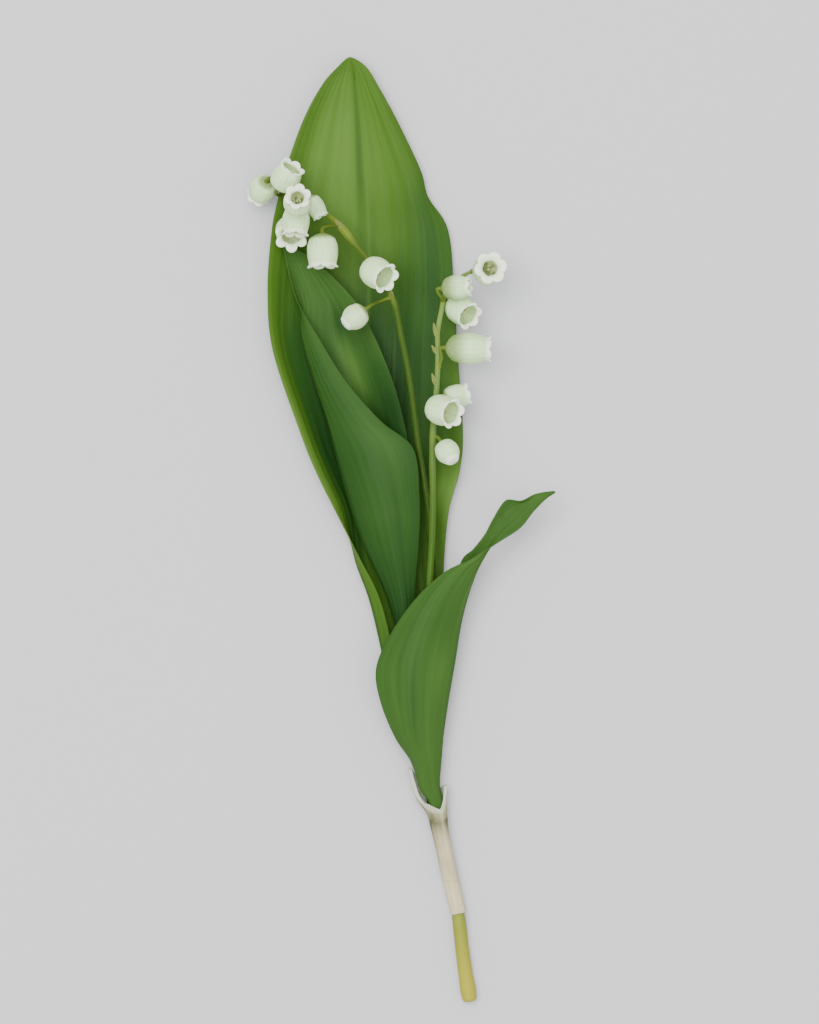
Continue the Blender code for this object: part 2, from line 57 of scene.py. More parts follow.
Array = np.ndarray
Socket = bpy.types.NodeSocket
Pair = tuple[float, float]
Triple = tuple[float, float, float]
Colour = Triple


@dataclass(frozen=True)
class Layout:
    """The sheet that the spray is laid out on, in steps of a quarter of a millimetre.

    x runs to the right and y down the sheet, as seen from the eye above the middle of the sheet.
    """

    step: float = 0.25 * MM
    eye_height: float = 1200 * MM
    middle: Pair = (409.5, 512.0)
    origin: Pair = (399.0, 529.8)
    long_side: float = 1024.0

    def place(self, spots: Array) -> Array:
        """Turn sheet spots into points.

        A spot at height h is drawn in towards the line under the eye by h over the eye's height.

        Args:
            spots: array of (x, y, height in millimetres).

        Returns:
            Array of points in metres.
        """
        spots = np.asarray(spots, dtype=float)
        height = spots[..., 2] * MM
        nearer = 1 - height / self.eye_height
        across = (spots[..., 0] - self.middle[0]) * nearer + self.middle[0] - self.origin[0]
        along = (self.middle[1] - spots[..., 1]) * nearer + self.origin[1] - self.middle[1]
        return np.stack((across * self.step, along * self.step, height), axis=-1)

    def eye(self) -> Triple:
        """The eye's own place."""
        right = (self.middle[0] - self.origin[0]) * self.step
        up = (self.origin[1] - self.middle[1]) * self.step
        return right, up, self.eye_height


SHEET = Layout()


def smooth(rows: Array, at: Array, knots: Array | None = None) -> Array:
    """Read a smooth curve through rows.

    Each span is a cubic whose value and slope at both ends are those of the rows, and a row's slope is
    the one between its neighbours.

    Args:
        rows: values, one row for each knot.
        at: where the curve is read.
        knots: place of each row; evenly spread from 0 to 1 if left out.

    Returns:
        The curve's values, one row for each entry of at.
    """
    rows = np.asarray(rows, dtype=float)
    knots = np.linspace(0, 1, len(rows)) if knots is None else np.asarray(knots, dtype=float)
    at = np.atleast_1d(np.asarray(at, dtype=float))
    slopes = np.gradient(rows, knots, axis=0)
    span = np.clip(np.searchsorted(knots, at, side="right") - 1, 0, len(rows) - 2)
    shape = (-1,) + (1,) * (rows.ndim - 1)
    width = (knots[span + 1] - knots[span]).reshape(shape)
    part = (at - knots[span]).reshape(shape) / width
    start = (1 + 2 * part) * (1 - part) ** 2 * rows[span] + part * (1 - part) ** 2 * width * slopes[span]
    end = part**2 * (3 - 2 * part) * rows[span + 1] + part**2 * (part - 1) * width * slopes[span + 1]
    return start + end


def ease(value: Array, low: float, high: float) -> Array:
    """Smooth step from 0 at low to 1 at high: three times the square less twice the cube."""
    part = np.clip((np.asarray(value, dtype=float) - low) / (high - low), 0, 1)
    return part * part * (3 - 2 * part)


def bump_at(value: Array, centre: float, width: float) -> Array:
    """Bell curve of height 1 at centre: e to the minus square of the distance over the width."""
    return np.exp(-(((np.asarray(value, dtype=float) - centre) / width) ** 2))


def bumps(value: Array, rows: tuple) -> Array:
    """Sum of bell curves, each given by its height, centre and width."""
    return sum(height * bump_at(value, centre, width) for height, centre, width in rows)


def from_least(least: float, value: Array) -> Array:
    """A value from 0 to 1 lifted so that it runs from least to 1."""
    return least + (1 - least) * value


def dome(value: Array, power: int) -> Array:
    """Rounded end: the root of one less a power of the value, which is 0 where the value is 1."""
    return np.sqrt(np.clip(1 - np.abs(value) ** power, 0, 1))


def unit(vectors: Array, shortest: float = 1e-12) -> Array:
    """Vectors divided by their lengths, along the last axis."""
    return vectors / np.maximum(np.linalg.norm(vectors, axis=-1, keepdims=True), shortest)


def turns(count: int) -> Array:
    """Angles spread evenly round a circle, the full turn left out."""
    return np.linspace(0, FULL_TURN, count, endpoint=False)


def distances(points: Array) -> Array:
    """Length of a line of points from its first point to each of them."""
    return np.concatenate(([0], np.cumsum(np.linalg.norm(np.diff(points, axis=0), axis=1))))


def spread(values: Array, columns: int) -> Array:
    """A column of values repeated in several columns."""
    return np.repeat(values[:, None], columns, axis=1)


def uv_grid(across: Array, along: Array) -> Array:
    """Grid of UV pairs, rows along and columns across."""
    return np.stack(np.meshgrid(across, along), axis=-1)


def ripple(x: Array, seed: int, waves: int, gain: float = 1.6) -> Array:
    """Smooth wavering between about -1 and 1 that repeats when x grows by 1.

    It is a sum of sines of whole frequencies with seeded phases, the faster ones weaker, divided by the
    sum of their shares and raised by the gain, because they never all peak together.
    """
    draw = np.random.default_rng(seed)
    speed = np.arange(1, waves + 1)
    phase = draw.uniform(0, FULL_TURN, waves)
    share = 1 / speed
    x = np.asarray(x, dtype=float)[..., None]
    return (np.sin(FULL_TURN * speed * x + phase) * share).sum(axis=-1) / share.sum() * gain


def surface_normals(points: Array, closed_across: bool = False) -> Array:
    """Unit normals of a grid surface: the cross product of its two sets of tangents.

    Args:
        points: grid of points, rows along and columns across.
        closed_across: the last column meets the first one.

    Returns:
        Grid of unit normals.
    """
    along = np.gradient(points, axis=0)
    if closed_across:
        across = np.roll(points, -1, axis=1) - np.roll(points, 1, axis=1)
    else:
        across = np.gradient(points, axis=1)
    return unit(np.cross(across, along))


@dataclass
class Patch:
    """A grid of points that becomes quads, with a UV pair and two optional values at each corner.

    The mask is 1 on inner faces, and the tone says how light or how strongly tinted the surface is; on the
    leaves, the sheath and one bell it also holds painted light and shade.
    """

    points: Array
    uv: Array
    closed: bool = False
    mask: Array | None = None
    tone: Array | None = None

    def faces(self) -> Array:
        """Corner numbers of the quads, four to a row; a closed patch joins its last column to its first."""
        rows, columns = self.points.shape[:2]
        number = np.arange(rows * columns).reshape(rows, columns)
        right = np.roll(number, -1, axis=1) if self.closed else number[:, 1:]
        left = number if self.closed else number[:, :-1]
        quads = (left[:-1], right[:-1], right[1:], left[1:])
        return np.stack(quads, axis=-1).reshape(-1, 4)

    def corner_uv(self) -> Array:
        """UV pair of each quad's corners; on a closed patch uv has one column more than points."""
        uv = self.uv
        quads = (uv[:-1, :-1], uv[:-1, 1:], uv[1:, 1:], uv[1:, :-1])
        return np.stack(quads, axis=-2).reshape(-1, 2)


def add_object(name: str, data: bpy.types.ID) -> bpy.types.Object:
    """A new object of a mesh, a lamp or a camera, linked to the scene."""
    made = bpy.data.objects.new(name, data)
    bpy.context.scene.collection.objects.link(made)
    return made


def make_piece(name: str, patches: list[Patch], merge: float = 1e-6,
               sliver: float = 1e-7) -> bpy.types.Object:
    """Make one mesh object of several patches.

    Args:
        name: the object's name.
        patches: the grids that it is made of.
        merge: corners nearer to each other than this are joined, which closes poles and edges.
        sliver: edges shorter than this are dissolved.

    Returns:
        The new object, at the origin, with its place in its mesh.
    """
    points, faces, uv, first = [], [], [], 0
    values = {"inside": [], "tone": []}
    for patch in patches:
        count = patch.points.shape[0] * patch.points.shape[1]
        points.append(patch.points.reshape(-1, 3))
        faces.append(patch.faces() + first)
        uv.append(patch.corner_uv())
        for label, given in (("inside", patch.mask), ("tone", patch.tone)):
            values[label].append(np.zeros(count) if given is None else given.reshape(-1))
        first += count
    mesh = bpy.data.meshes.new(name)
    mesh.from_pydata(np.concatenate(points), [], np.concatenate(faces).tolist())
    layer = mesh.uv_layers.new(name=UV_NAME)
    layer.data.foreach_set("uv", np.concatenate(uv).astype(np.float32).ravel())
    for label, given in values.items():
        layer = mesh.attributes.new(label, "FLOAT", "POINT")
        layer.data.foreach_set("value", np.concatenate(given).astype(np.float32))
    sheet = bmesh.new()
    sheet.from_mesh(mesh)
    bmesh.ops.remove_doubles(sheet, verts=sheet.verts, dist=merge)
    bmesh.ops.dissolve_degenerate(sheet, edges=sheet.edges, dist=sliver)
    bmesh.ops.recalc_face_normals(sheet, faces=sheet.faces)
    sheet.to_mesh(mesh)
    sheet.free()
    mesh.shade_smooth()
    return add_object(name, mesh)


def shell(middle: Array, half: Array, uv: Array, tone: Array | None = None) -> Patch:
    """Wrap an open surface into a thin closed body, front and back, sharp only at its edges.

    The front lies half the thickness along the normal from the middle surface, the back as far the
    other way, and both meet where the thickness falls to nothing.

    Args:
        middle: grid of points.
        half: grid of half thicknesses, 0 on the border.
        uv: grid of UV pairs.
        tone: grid of tones, the same on both faces; 0 if left out.

    Returns:
        One closed patch that runs over the front and back again over the back.
    """
    push = surface_normals(middle) * half[..., None]
    front = middle + push
    back = middle - push
    points = np.concatenate((front, back[:, -2:0:-1]), axis=1)
    around = np.concatenate((uv, uv[:, -2::-1]), axis=1)
    side = np.concatenate((np.zeros(front.shape[:2]), np.ones(back[:, 1:-1].shape[:2])), axis=1)
    if tone is not None:
        tone = np.concatenate((tone, tone[:, -2:0:-1]), axis=1)
    return Patch(points, around, closed=True, mask=side, tone=tone)


def tube(path: Array, radius: Array, sides: int, ridge: float = 0.0, ridges: int = 5,
         tone: Array | None = None) -> Patch:
    """Carry a round or faintly ridged section along a path, with a single point at each end.

    A corner lies at the path plus radius times (cosine of its angle times the side vector plus sine
    times the lift vector). The side vector is the part of a fixed axis that is square to the path.

    Args:
        path: points of the middle line.
        radius: radius at each point.
        sides: corners round the section.
        ridge: height of the ridges as a share of the radius.
        ridges: how many ridges run round the section.
        tone: tone at each point of the path; 0 if left out.

    Returns:
        A closed patch whose first and last rings are single points.
    """
    tangent = unit(np.gradient(path, axis=0))
    axis = np.eye(3)[np.abs(tangent).max(axis=0).argmin()]
    side = unit(axis - tangent * (tangent @ axis)[:, None])
    lift = np.cross(tangent, side)
    length = distances(path)
    angle = turns(sides)
    reach = radius[:, None] * (1 + ridge * np.cos(ridges * angle)[None, :])
    ring = np.cos(angle)[None, :, None] * side[:, None, :] + np.sin(angle)[None, :, None] * lift[:, None, :]
    points = path[:, None, :] + reach[..., None] * ring
    first, last = (np.repeat(end[None, None], sides, axis=1) for end in (path[0], path[-1]))
    uv = uv_grid(np.linspace(0, 1, sides + 1), np.concatenate(([0], length, length[-1:])) / MM)
    if tone is not None:
        tone = spread(np.concatenate((tone[:1], tone, tone[-1:])), sides)
    return Patch(np.concatenate((first, points, last)), uv, closed=True, tone=tone)


def rounded(count: int, share: float, lowest: float = 0.0004) -> Array:
    """Radius factors along a tube: a quarter circle over a share of its length at both ends, 1 between.

    The square of a factor stays above the lowest, so the last ring has a width.
    """
    place = np.linspace(0, 1, count)
    edge = np.minimum(place, 1 - place) / share
    return np.sqrt(np.clip(1 - (1 - np.clip(edge, 0, 1)) ** 2, lowest, 1))


class Nodes:
    """Shorthand for wiring the nodes of one tree, from left to right."""

    def __init__(self, tree: bpy.types.NodeTree) -> None:
        """Keep the tree."""
        self.tree = tree

    def add(self, kind: str, **settings: object) -> bpy.types.Node:
        """A new node with its properties set."""
        node = self.tree.nodes.new(kind)
        for name, value in settings.items():
            setattr(node, name, value)
        return node

    def feed(self, socket: Socket, value: object) -> None:
        """Link an output to a socket, or set the socket to a plain value."""
        if isinstance(value, bpy.types.NodeSocket):
            self.tree.links.new(value, socket)
        elif socket.type == "RGBA":
            socket.default_value = (*value, 1)
        else:
            socket.default_value = value

    def fill(self, node: bpy.types.Node, *values: object) -> bpy.types.Node:
        """Feed a node's sockets in their order, those that its settings switch off left out."""
        for socket, value in zip([socket for socket in node.inputs if socket.enabled], values):
            self.feed(socket, value)
        return node

    def math(self, operation: str, *values: object, clamp: bool = False) -> Socket:
        """A math node's result."""
        return self.fill(self.add("ShaderNodeMath", operation=operation, use_clamp=clamp), *values).outputs[0]

    def span(self, value: object, low: object, high: object, to_low: float = 0, to_high: float = 1) -> Socket:
        """A value eased from the range low to high into the range to_low to to_high."""
        node = self.add("ShaderNodeMapRange", interpolation_type="SMOOTHSTEP")
        return self.fill(node, value, low, high, to_low, to_high).outputs[0]

    def mix(self, share: object, first: object, second: object) -> Socket:
        """Two colours mixed by a share."""
        node = self.fill(self.add("ShaderNodeMix", data_type="RGBA"), share, first, second)
        return next(socket for socket in node.outputs if socket.enabled)

    def ramp(self, value: object, colours: tuple[Colour, ...]) -> Socket:
        """A value from 0 to 1 turned into a colour by a row of evenly spread ones."""
        node = self.add("ShaderNodeValToRGB")
        stops = node.color_ramp.elements
        while len(stops) < len(colours):
            stops.new(1)
        for number, (stop, colour) in enumerate(zip(stops, colours)):
            stop.position = number / (len(colours) - 1)
            stop.color = (*colour, 1)
        return self.fill(node, value).outputs[0]

    def sway(self, value: Socket, *masks: tuple[Socket, float]) -> Socket:
        """A value plus each mask's distance from a half, times its weight."""
        for mask, weight in masks:
            part = self.math("MULTIPLY", self.math("SUBTRACT", mask, 0.5), weight)
            value = self.math("ADD", value, part)
        return value

    def attribute(self, name: str) -> Socket:
        """A point value of the mesh."""
        return self.add("ShaderNodeAttribute", attribute_name=name).outputs["Fac"]

    def parts(self, vector: Socket) -> list[Socket]:
        """The three numbers of a vector."""
        return list(self.fill(self.add("ShaderNodeSeparateXYZ"), vector).outputs)

    def noise(self, vector: Socket, scale: object, detail: float, roughness: float) -> Socket:
        """A noise texture's value."""
        node = self.add("ShaderNodeTexNoise")
        given = {"Vector": vector, "Scale": scale, "Detail": detail, "Roughness": roughness}
        for label, value in given.items():
            self.feed(node.inputs[label], value)
        return node.outputs[0]


class Coat(Nodes):
    """The nodes of one new material, with its shader's sockets and the surface's UV pair."""

    def __init__(self, name: str) -> None:
        """Make the material."""
        self.material = bpy.data.materials.new(name)
        self.material.use_nodes = True
        super().__init__(self.material.node_tree)
        self.shader = self.tree.nodes["Principled BSDF"].inputs
        self.uv = self.add("ShaderNodeUVMap", uv_map=UV_NAME).outputs[0]
        self.across, self.along, _ = self.parts(self.uv)


@dataclass(frozen=True)
class Streaks:
    """Lengthwise streaks: how many across and along a piece, and between which noise values they show."""

    across: float
    along: float
    low: float = 0.3
    high: float = 0.7


class Effects:
    """The node groups that several finishes share, each built once. Each gives a mask and a finer one.

    A noise's look is its detail and its roughness, and a range is where its values become a mask.
    """

    SOFT = (2, 0.5)
    ROUGH = (2, 0.6)
    GRAINY = (3, 0.6)
    MIDDLE_RANGE = (0.3, 0.7)
    GRAIN_RANGE = (0.25, 0.75)
    FINER_STREAKS = 4.3
    FINER_CLOUDS = 18.0

    def __init__(self) -> None:
        """Build the groups."""
        self.streak_group = self._streak_group()
        self.cloud_group = self._cloud_group()

    @staticmethod
    def _begin(name: str, *numbers: str) -> tuple[Nodes, object, object]:
        """Start a group that is given a vector and named numbers.

        Args:
            name: the group's name.
            numbers: names of the numbers.

        Returns:
            The group's nodes, the sockets that it is given, and those that it makes.
        """
        tree = bpy.data.node_groups.new(name, "ShaderNodeTree")
        tree.interface.new_socket("Vector", in_out="INPUT", socket_type="NodeSocketVector")
        for way, labels in (("INPUT", numbers), ("OUTPUT", ("Mask", "Fine"))):
            for label in labels:
                tree.interface.new_socket(label, in_out=way, socket_type="NodeSocketFloat")
        nodes = Nodes(tree)
        return nodes, nodes.add("NodeGroupInput").outputs, nodes.add("NodeGroupOutput").inputs

    def _streak_group(self) -> bpy.types.NodeTree:
        """Fibres and veins that run along a piece, as noise that is fine across and long along it."""
        nodes, given, made = self._begin("lengthwise streaks", "Across", "Along", "Low", "High")
        across, along, _ = nodes.parts(given["Vector"])
        across = nodes.math("MULTIPLY", across, given["Across"])
        along = nodes.math("MULTIPLY", along, given["Along"])
        vector = nodes.fill(nodes.add("ShaderNodeCombineXYZ"), across, along).outputs[0]
        wide = nodes.noise(vector, 1.0, *self.SOFT)
        fine = nodes.noise(vector, self.FINER_STREAKS, *self.ROUGH)
        nodes.feed(made["Mask"], nodes.span(wide, given["Low"], given["High"]))
        nodes.feed(made["Fine"], nodes.span(fine, *self.MIDDLE_RANGE))
        return nodes.tree

    def _cloud_group(self) -> bpy.types.NodeTree:
        """Soft cloudy variation from place to place, coarse and fine."""
        nodes, given, made = self._begin("soft mottle", "Scale")
        coarse = nodes.noise(given["Vector"], given["Scale"], *self.SOFT)
        fine = nodes.noise(given["Vector"], nodes.math("MULTIPLY", given["Scale"], self.FINER_CLOUDS),
                           *self.GRAINY)
        nodes.feed(made["Mask"], nodes.span(coarse, *self.MIDDLE_RANGE))
        nodes.feed(made["Fine"], nodes.span(fine, *self.GRAIN_RANGE))
        return nodes.tree

    def streaks(self, coat: Coat, kind: Streaks) -> tuple[Socket, Socket]:
        """The masks of streaks that follow a coat's surface."""
        node = coat.add("ShaderNodeGroup", node_tree=self.streak_group)
        mask, fine = coat.fill(node, coat.uv, kind.across, kind.along, kind.low, kind.high).outputs
        return mask, fine

    def clouds(self, coat: Coat, scale: float) -> tuple[Socket, Socket]:
        """The masks of clouds of a scale that fill a coat's space."""
        place = coat.add("ShaderNodeTexCoord").outputs["Object"]
        mask, fine = coat.fill(coat.add("ShaderNodeGroup", node_tree=self.cloud_group), place, scale).outputs
        return mask, fine


@dataclass(frozen=True)
class Finish:
    """What every finish shares: its name, roughness range, relief, shine and how light soaks into it."""

    name: str
    roughness: Pair = (0.45, 0.6)
    relief: float = 0.04 * MM
    specular: float = 0.15
    soak: float = 0.0
    soak_depth: float = 0.5 * MM
    soak_reach: Colour = (1.0, 0.2, 0.1)

    def start(self) -> Coat:
        """A new coat, its shader's plain values set."""
        coat = Coat(self.name)
        coat.feed(coat.shader["Specular IOR Level"], self.specular)
        if self.soak:
            coat.feed(coat.shader["Subsurface Weight"], self.soak)
            coat.feed(coat.shader["Subsurface Scale"], self.soak_depth)
            coat.feed(coat.shader["Subsurface Radius"], self.soak_reach)
        return coat

    def close(self, coat: Coat, colour: Socket, rough: Socket, height: Socket) -> bpy.types.Material:
        """Wire the colour, a mask of the roughness range and the relief's height to the shader."""
        coat.feed(coat.shader["Base Color"], colour)
        coat.feed(coat.shader["Roughness"], coat.span(rough, 0.0, 1.0, *self.roughness))
        bump = coat.add("ShaderNodeBump")
        for label, value in {"Strength": 1, "Distance": self.relief, "Height": height}.items():
            coat.feed(bump.inputs[label], value)
        coat.feed(coat.shader["Normal"], bump.outputs[0])
        return coat.material


# Colour ramps from the darkest painted shade to the most brightly lit leaf green; a leaf's tone picks its
# colour along them.
LEAF_SHADES = (
    (0.002, 0.01, 0.001), (0.004, 0.024, 0.003), (0.014, 0.05, 0.006), (0.044, 0.102, 0.009),
    (0.08, 0.165, 0.024),
)
DEEP_SHADES = (
    (0.001, 0.01, 0.001), (0.004, 0.024, 0.003), (0.015, 0.05, 0.007), (0.042, 0.1, 0.016),
    (0.08, 0.165, 0.04),
)


@dataclass(frozen=True)
class LeafFinish(Finish):
    """A smooth leaf: its tone, painted light and shade included, set point by point, with fine parallel veins
    and soft bands over it.
    """

    specular: float = 0.08
    shades: tuple[Colour, ...] = LEAF_SHADES
    vein: Colour = (0.06, 0.14, 0.02)
    midrib: float = 0.508
    midrib_edge: Pair = (0.003, 0.011)
    midrib_strength: float = 0.35
    vein_share: float = 0.1
    bands: Streaks = Streaks(9.0, 0.012)
    veins: Streaks = Streaks(46.0, 0.02, 0.48, 0.72)
    cloud_scale: float = 26.0
    drift: float = 0.1
    cloud_drift: float = 0.5
    vein_drift: float = 0.4
    vein_relief: float = 0.6
    grain_relief: float = 0.25

    def build(self, effects: Effects) -> bpy.types.Material:
        """The material: the tone, painted light and shade included, picks the colour, and veins and the
        midrib lie over it.
        """
        coat = self.start()
        bands, _ = effects.streaks(coat, self.bands)
        veins, fine = effects.streaks(coat, self.veins)
        clouds, grain = effects.clouds(coat, self.cloud_scale)
        tone = coat.sway(coat.attribute("tone"), (bands, self.drift), (clouds, self.cloud_drift * self.drift),
                         (fine, self.vein_drift * self.drift))
        share = coat.math("MULTIPLY", veins, self.vein_share)
        colour = coat.mix(share, coat.ramp(tone, self.shades), self.vein)
        away = coat.math("ABSOLUTE", coat.math("SUBTRACT", coat.across, self.midrib))
        colour = coat.mix(coat.span(away, *self.midrib_edge, self.midrib_strength, 0.0), colour, self.vein)
        height = coat.math("ADD", coat.math("MULTIPLY", fine, self.vein_relief),
                           coat.math("MULTIPLY", grain, self.grain_relief))
        return self.close(coat, colour, fine, height)


@dataclass(frozen=True)
class BellFinish(Finish):
    """A waxy bell: white with a green breath, green at its crown, whiter on its rim as a painted highlight
    where the curled lip catches light, olive deep inside.
    """

    specular: float = 0.25
    soak: float = 0.5
    soak_depth: float = 1.2 * MM
    soak_reach: Colour = (1.0, 1.0, 0.7)
    white: Colour = (0.6, 0.84, 0.44)
    shade: Colour = (0.48, 0.7, 0.33)
    crown: Colour = (0.13, 0.19, 0.035)
    # painted highlight: the rim is made whiter where the curled lip catches light
    rim: Colour = (0.84, 0.94, 0.7)
    inner: Colour = (0.74, 0.82, 0.46)
    furrows: Streaks = Streaks(34.0, 1.2)
    patchy: Pair = (0.8, 1.0)
    rim_edge: Pair = (0.84, 0.93)
    rim_strength: float = 0.8

    def build(self, effects: Effects) -> bpy.types.Material:
        """The material: streaks between shade and white, then the crown or the throat, and the rim's painted
        highlight.
        """
        coat = self.start()
        mask, fine = effects.streaks(coat, self.furrows)
        colour = coat.mix(mask, self.shade, self.white)
        tinge = coat.math("MULTIPLY", coat.attribute("tone"), coat.span(fine, 0, 1, *self.patchy))
        colour = coat.mix(tinge, colour, coat.mix(coat.attribute("inside"), self.crown, self.inner))
        colour = coat.mix(coat.span(coat.along, *self.rim_edge, 0.0, self.rim_strength), colour, self.rim)
        return self.close(coat, colour, fine, fine)


@dataclass(frozen=True)
class StalkFinish(Finish):
    """A fleshy stalk that changes colour along its length, tan where its tone says so, finely ribbed."""

    soak: float = 0.1
    # The left stalk's greens, with the shade of the gutter between the leaves painted in: low at the foot,
    # high further up.
    low: Colour = (0.014, 0.04, 0.001)
    high: Colour = (0.03, 0.07, 0.004)
    tan: Colour = (0.14, 0.19, 0.02)
    turn: Pair = (40.0, 120.0)
    ribs: Streaks = Streaks(7.0, 0.08, 0.35)
    cloud_scale: float = 160.0
    rib_drift: float = 0.16
    cloud_drift: float = 0.12

    def build(self, effects: Effects) -> bpy.types.Material:
        """The material: low turns to high between two lengths in millimetres, then tan by the tone."""
        coat = self.start()
        ribs, fine = effects.streaks(coat, self.ribs)
        clouds, _ = effects.clouds(coat, self.cloud_scale)
        colour = coat.mix(coat.span(coat.along, *self.turn), self.low, self.high)
        share = coat.sway(coat.attribute("tone"), (ribs, self.rib_drift), (clouds, self.cloud_drift))
        colour = coat.mix(coat.math("ADD", share, 0.0, clamp=True), colour, self.tan)
        return self.close(coat, colour, fine, fine)


@dataclass(frozen=True)
class PaperFinish(Finish):
    """A dry papery skin: pale, with fine lengthwise fibres, and staining with painted shade where its tone
    says so.
    """

    soak: float = 0.1
    soak_depth: float = 0.6 * MM
    pale: Colour = (0.62, 0.55, 0.33)
    fibre: Colour = (0.36, 0.32, 0.17)
    # dark colour of the sheath's staining and of its painted shade
    stain_and_shade: Colour = (0.055, 0.07, 0.028)
    lining: Colour = (0.42, 0.45, 0.36)
    fibres: Streaks = Streaks(26.0, 2.4, 0.4, 0.75)
    fibre_share: float = 0.5
    cloud_scale: float = 180.0
    patchy: tuple[float, float, float, float] = (0.0, 0.7, 0.6, 1.0)

    def build(self, effects: Effects) -> bpy.types.Material:
        """The material: fibres over the pale skin, the staining and painted shade over them, and the inner
        side's lining.
        """
        coat = self.start()
        fibres, fine = effects.streaks(coat, self.fibres)
        clouds, _ = effects.clouds(coat, self.cloud_scale)
        colour = coat.mix(coat.math("MULTIPLY", fibres, self.fibre_share), self.pale, self.fibre)
        stain_and_shade = coat.math("MULTIPLY", coat.attribute("tone"), coat.span(clouds, *self.patchy))
        colour = coat.mix(stain_and_shade, colour, self.stain_and_shade)
        colour = coat.mix(coat.attribute("inside"), colour, self.lining)
        return self.close(coat, colour, fine, fine)


class Side(Enum):
    """The side of the spray that a flower stalk and its bells belong to."""

    LEFT = "left"
    RIGHT = "right"


STEM_LINE = (
    (470, 1001, 1.87), (466, 977, 2.0), (462, 948, 2.3), (458.5, 917, 2.6), (452.5, 888, 2.95),
    (446, 858, 3.35), (439.5, 830, 3.8), (435, 808, 4.2), (431.5, 786, 4.6), (428.5, 764, 5.0),
)


def by_level(table: tuple, levels: Array) -> Array:
    """Rows of a table whose first column is y, read at the given y values."""
    table = np.asarray(table, dtype=float)
    table = table[np.argsort(table[:, 0])]
    return smooth(table[:, 1:], levels, table[:, 0])


def stem_middle(levels: Array) -> Array:
    """x and height of the stem's middle line at the given y values."""
    return by_level(tuple((y, x, z) for x, y, z in STEM_LINE), levels)


@dataclass(frozen=True)
class PaintedLight:
    """A soft spot on a leaf's tone: painted light where the amount is above 0, painted shade where it is
    below 0, given by its place and its reach.
    """

    along: float
    across: float
    reach_along: float
    reach_across: float
    amount: float

    def share(self, t: Array, s: Array) -> Array:
        """The change of tone at the places t along and s across."""
        return self.amount * np.outer(bump_at(t, self.along, self.reach_along),
                                      bump_at(s, self.across, self.reach_across))


@dataclass
class Leaf:
    """A leaf blade through given rows of five spots, from margin to margin, foot to tip.

    The foot is five turns round the stem in degrees, at two levels. The body is where the relief fades
    in and where it fades out. A higher power keeps the thickness, or the pleats, nearer to an edge.
    """

    node: str
    foot: tuple
    rows: tuple
    # the tones along the blade carry painted shade, and the spots after them add painted light and shade
    tones: tuple
    painted_light: tuple
    finish: Finish
    seed: int
    thickness: float = 0.44 * MM
    foot_levels: Pair = (813, 801)
    foot_radii: Pair = (1.58, 1.58)
    rests: bool = False
    lengthwise: int = 230
    across: int = 110
    crowding: float = 0.35
    body: tuple[float, float, float, float] = (0.12, 0.3, 0.93, 1.0)
    pleats: int = 15
    pleat_depth: float = 0.045 * MM
    groove_depth: float = 0.0
    groove_width: float = 0.012
    wave_depth: float = 0.12 * MM
    waves: int = 9
    margin_power: int = 3
    edge_power: int = 10
    end_power: int = 60
    clearance: float = 0.02 * MM
    grain_length: float = 190

    def wrap(self, level: float, radius: float) -> list[Triple]:
        """Spots of the foot, on a circle round the stem at one level."""
        x, z = stem_middle(level)[0]
        reach = radius * MM / SHEET.step
        return [(x + reach * math.cos(a), level, z + radius * math.sin(a)) for a in np.radians(self.foot)]

    def middle(self) -> tuple[Array, Array, Array]:
        """The middle surface of the blade, and its two parameters.

        The rows are read along with one smooth curve and across with another. Pleats, the groove of the
        midrib and the waves of the margins push it along its normal, all fading out at foot and tip.

        Returns:
            Grid of points, the places along and the places across, both from 0 to 1.
        """
        foot = [self.wrap(level, radius) for level, radius in zip(self.foot_levels, self.foot_radii)]
        stations = SHEET.place(foot + list(self.rows))
        t = np.linspace(0, 1, self.lengthwise)
        edge = np.linspace(-1, 1, self.across)
        s = (1 + np.sin(edge * math.pi / 2) * self.crowding + edge * (1 - self.crowding)) / 2
        points = smooth(smooth(stations, t).transpose(1, 0, 2), s).transpose(1, 0, 2)
        body = ease(t, *self.body[:2]) * (1 - ease(t, *self.body[2:]))
        outer = np.abs(2 * s - 1) ** self.margin_power
        pleat = -np.cos(FULL_TURN * self.pleats * s) * self.pleat_depth
        groove = -bump_at(s, 0.5, self.groove_width) * self.groove_depth
        wave = outer[None, :] * (self.wave_depth * ripple(t, self.seed, self.waves))[:, None]
        push = body[:, None] * ((pleat * (1 - outer) + groove)[None, :] + wave)
        return points + surface_normals(points) * push[..., None], t, s

    def tone(self, t: Array, s: Array) -> Array:
        """The leaf's tone, painted light and shade included: straight between the values along it, with the
        painted spots added.
        """
        knots, values = np.array(self.tones, dtype=float).T
        return np.interp(t, knots, values)[:, None] + sum(painted_spot.share(t, s) for painted_spot in self.painted_light)

    def build(self) -> bpy.types.Object:
        """The blade as a thin closed body that is thinnest at its margins."""
        points, t, s = self.middle()
        ends = dome(2 * t - 1, self.end_power)[:, None]
        half = self.thickness / 2 * ends * dome(2 * s - 1, self.edge_power)[None, :]
        if self.rests:
            points[..., 2] = np.maximum(points[..., 2], half + self.clearance)
        blade = shell(points, half, uv_grid(s, t * self.grain_length), self.tone(t, s))
        return make_piece(f"{self.node}_blade", [blade])


@dataclass(frozen=True)
class BellForm:
    """How one bell differs from another.

    The throat is a share of the radius, the curl the radius on which the lobes turn out, the crown how
    far down the green of the crown reaches, inner how strong the colour of the throat is, and the cut
    how deep the notches between the lobes are.
    """

    throat: float = 0.86
    curl: float = 0.42 * MM
    crown: float = 0.24
    inner: float = 0.7
    cut: float = 0.85


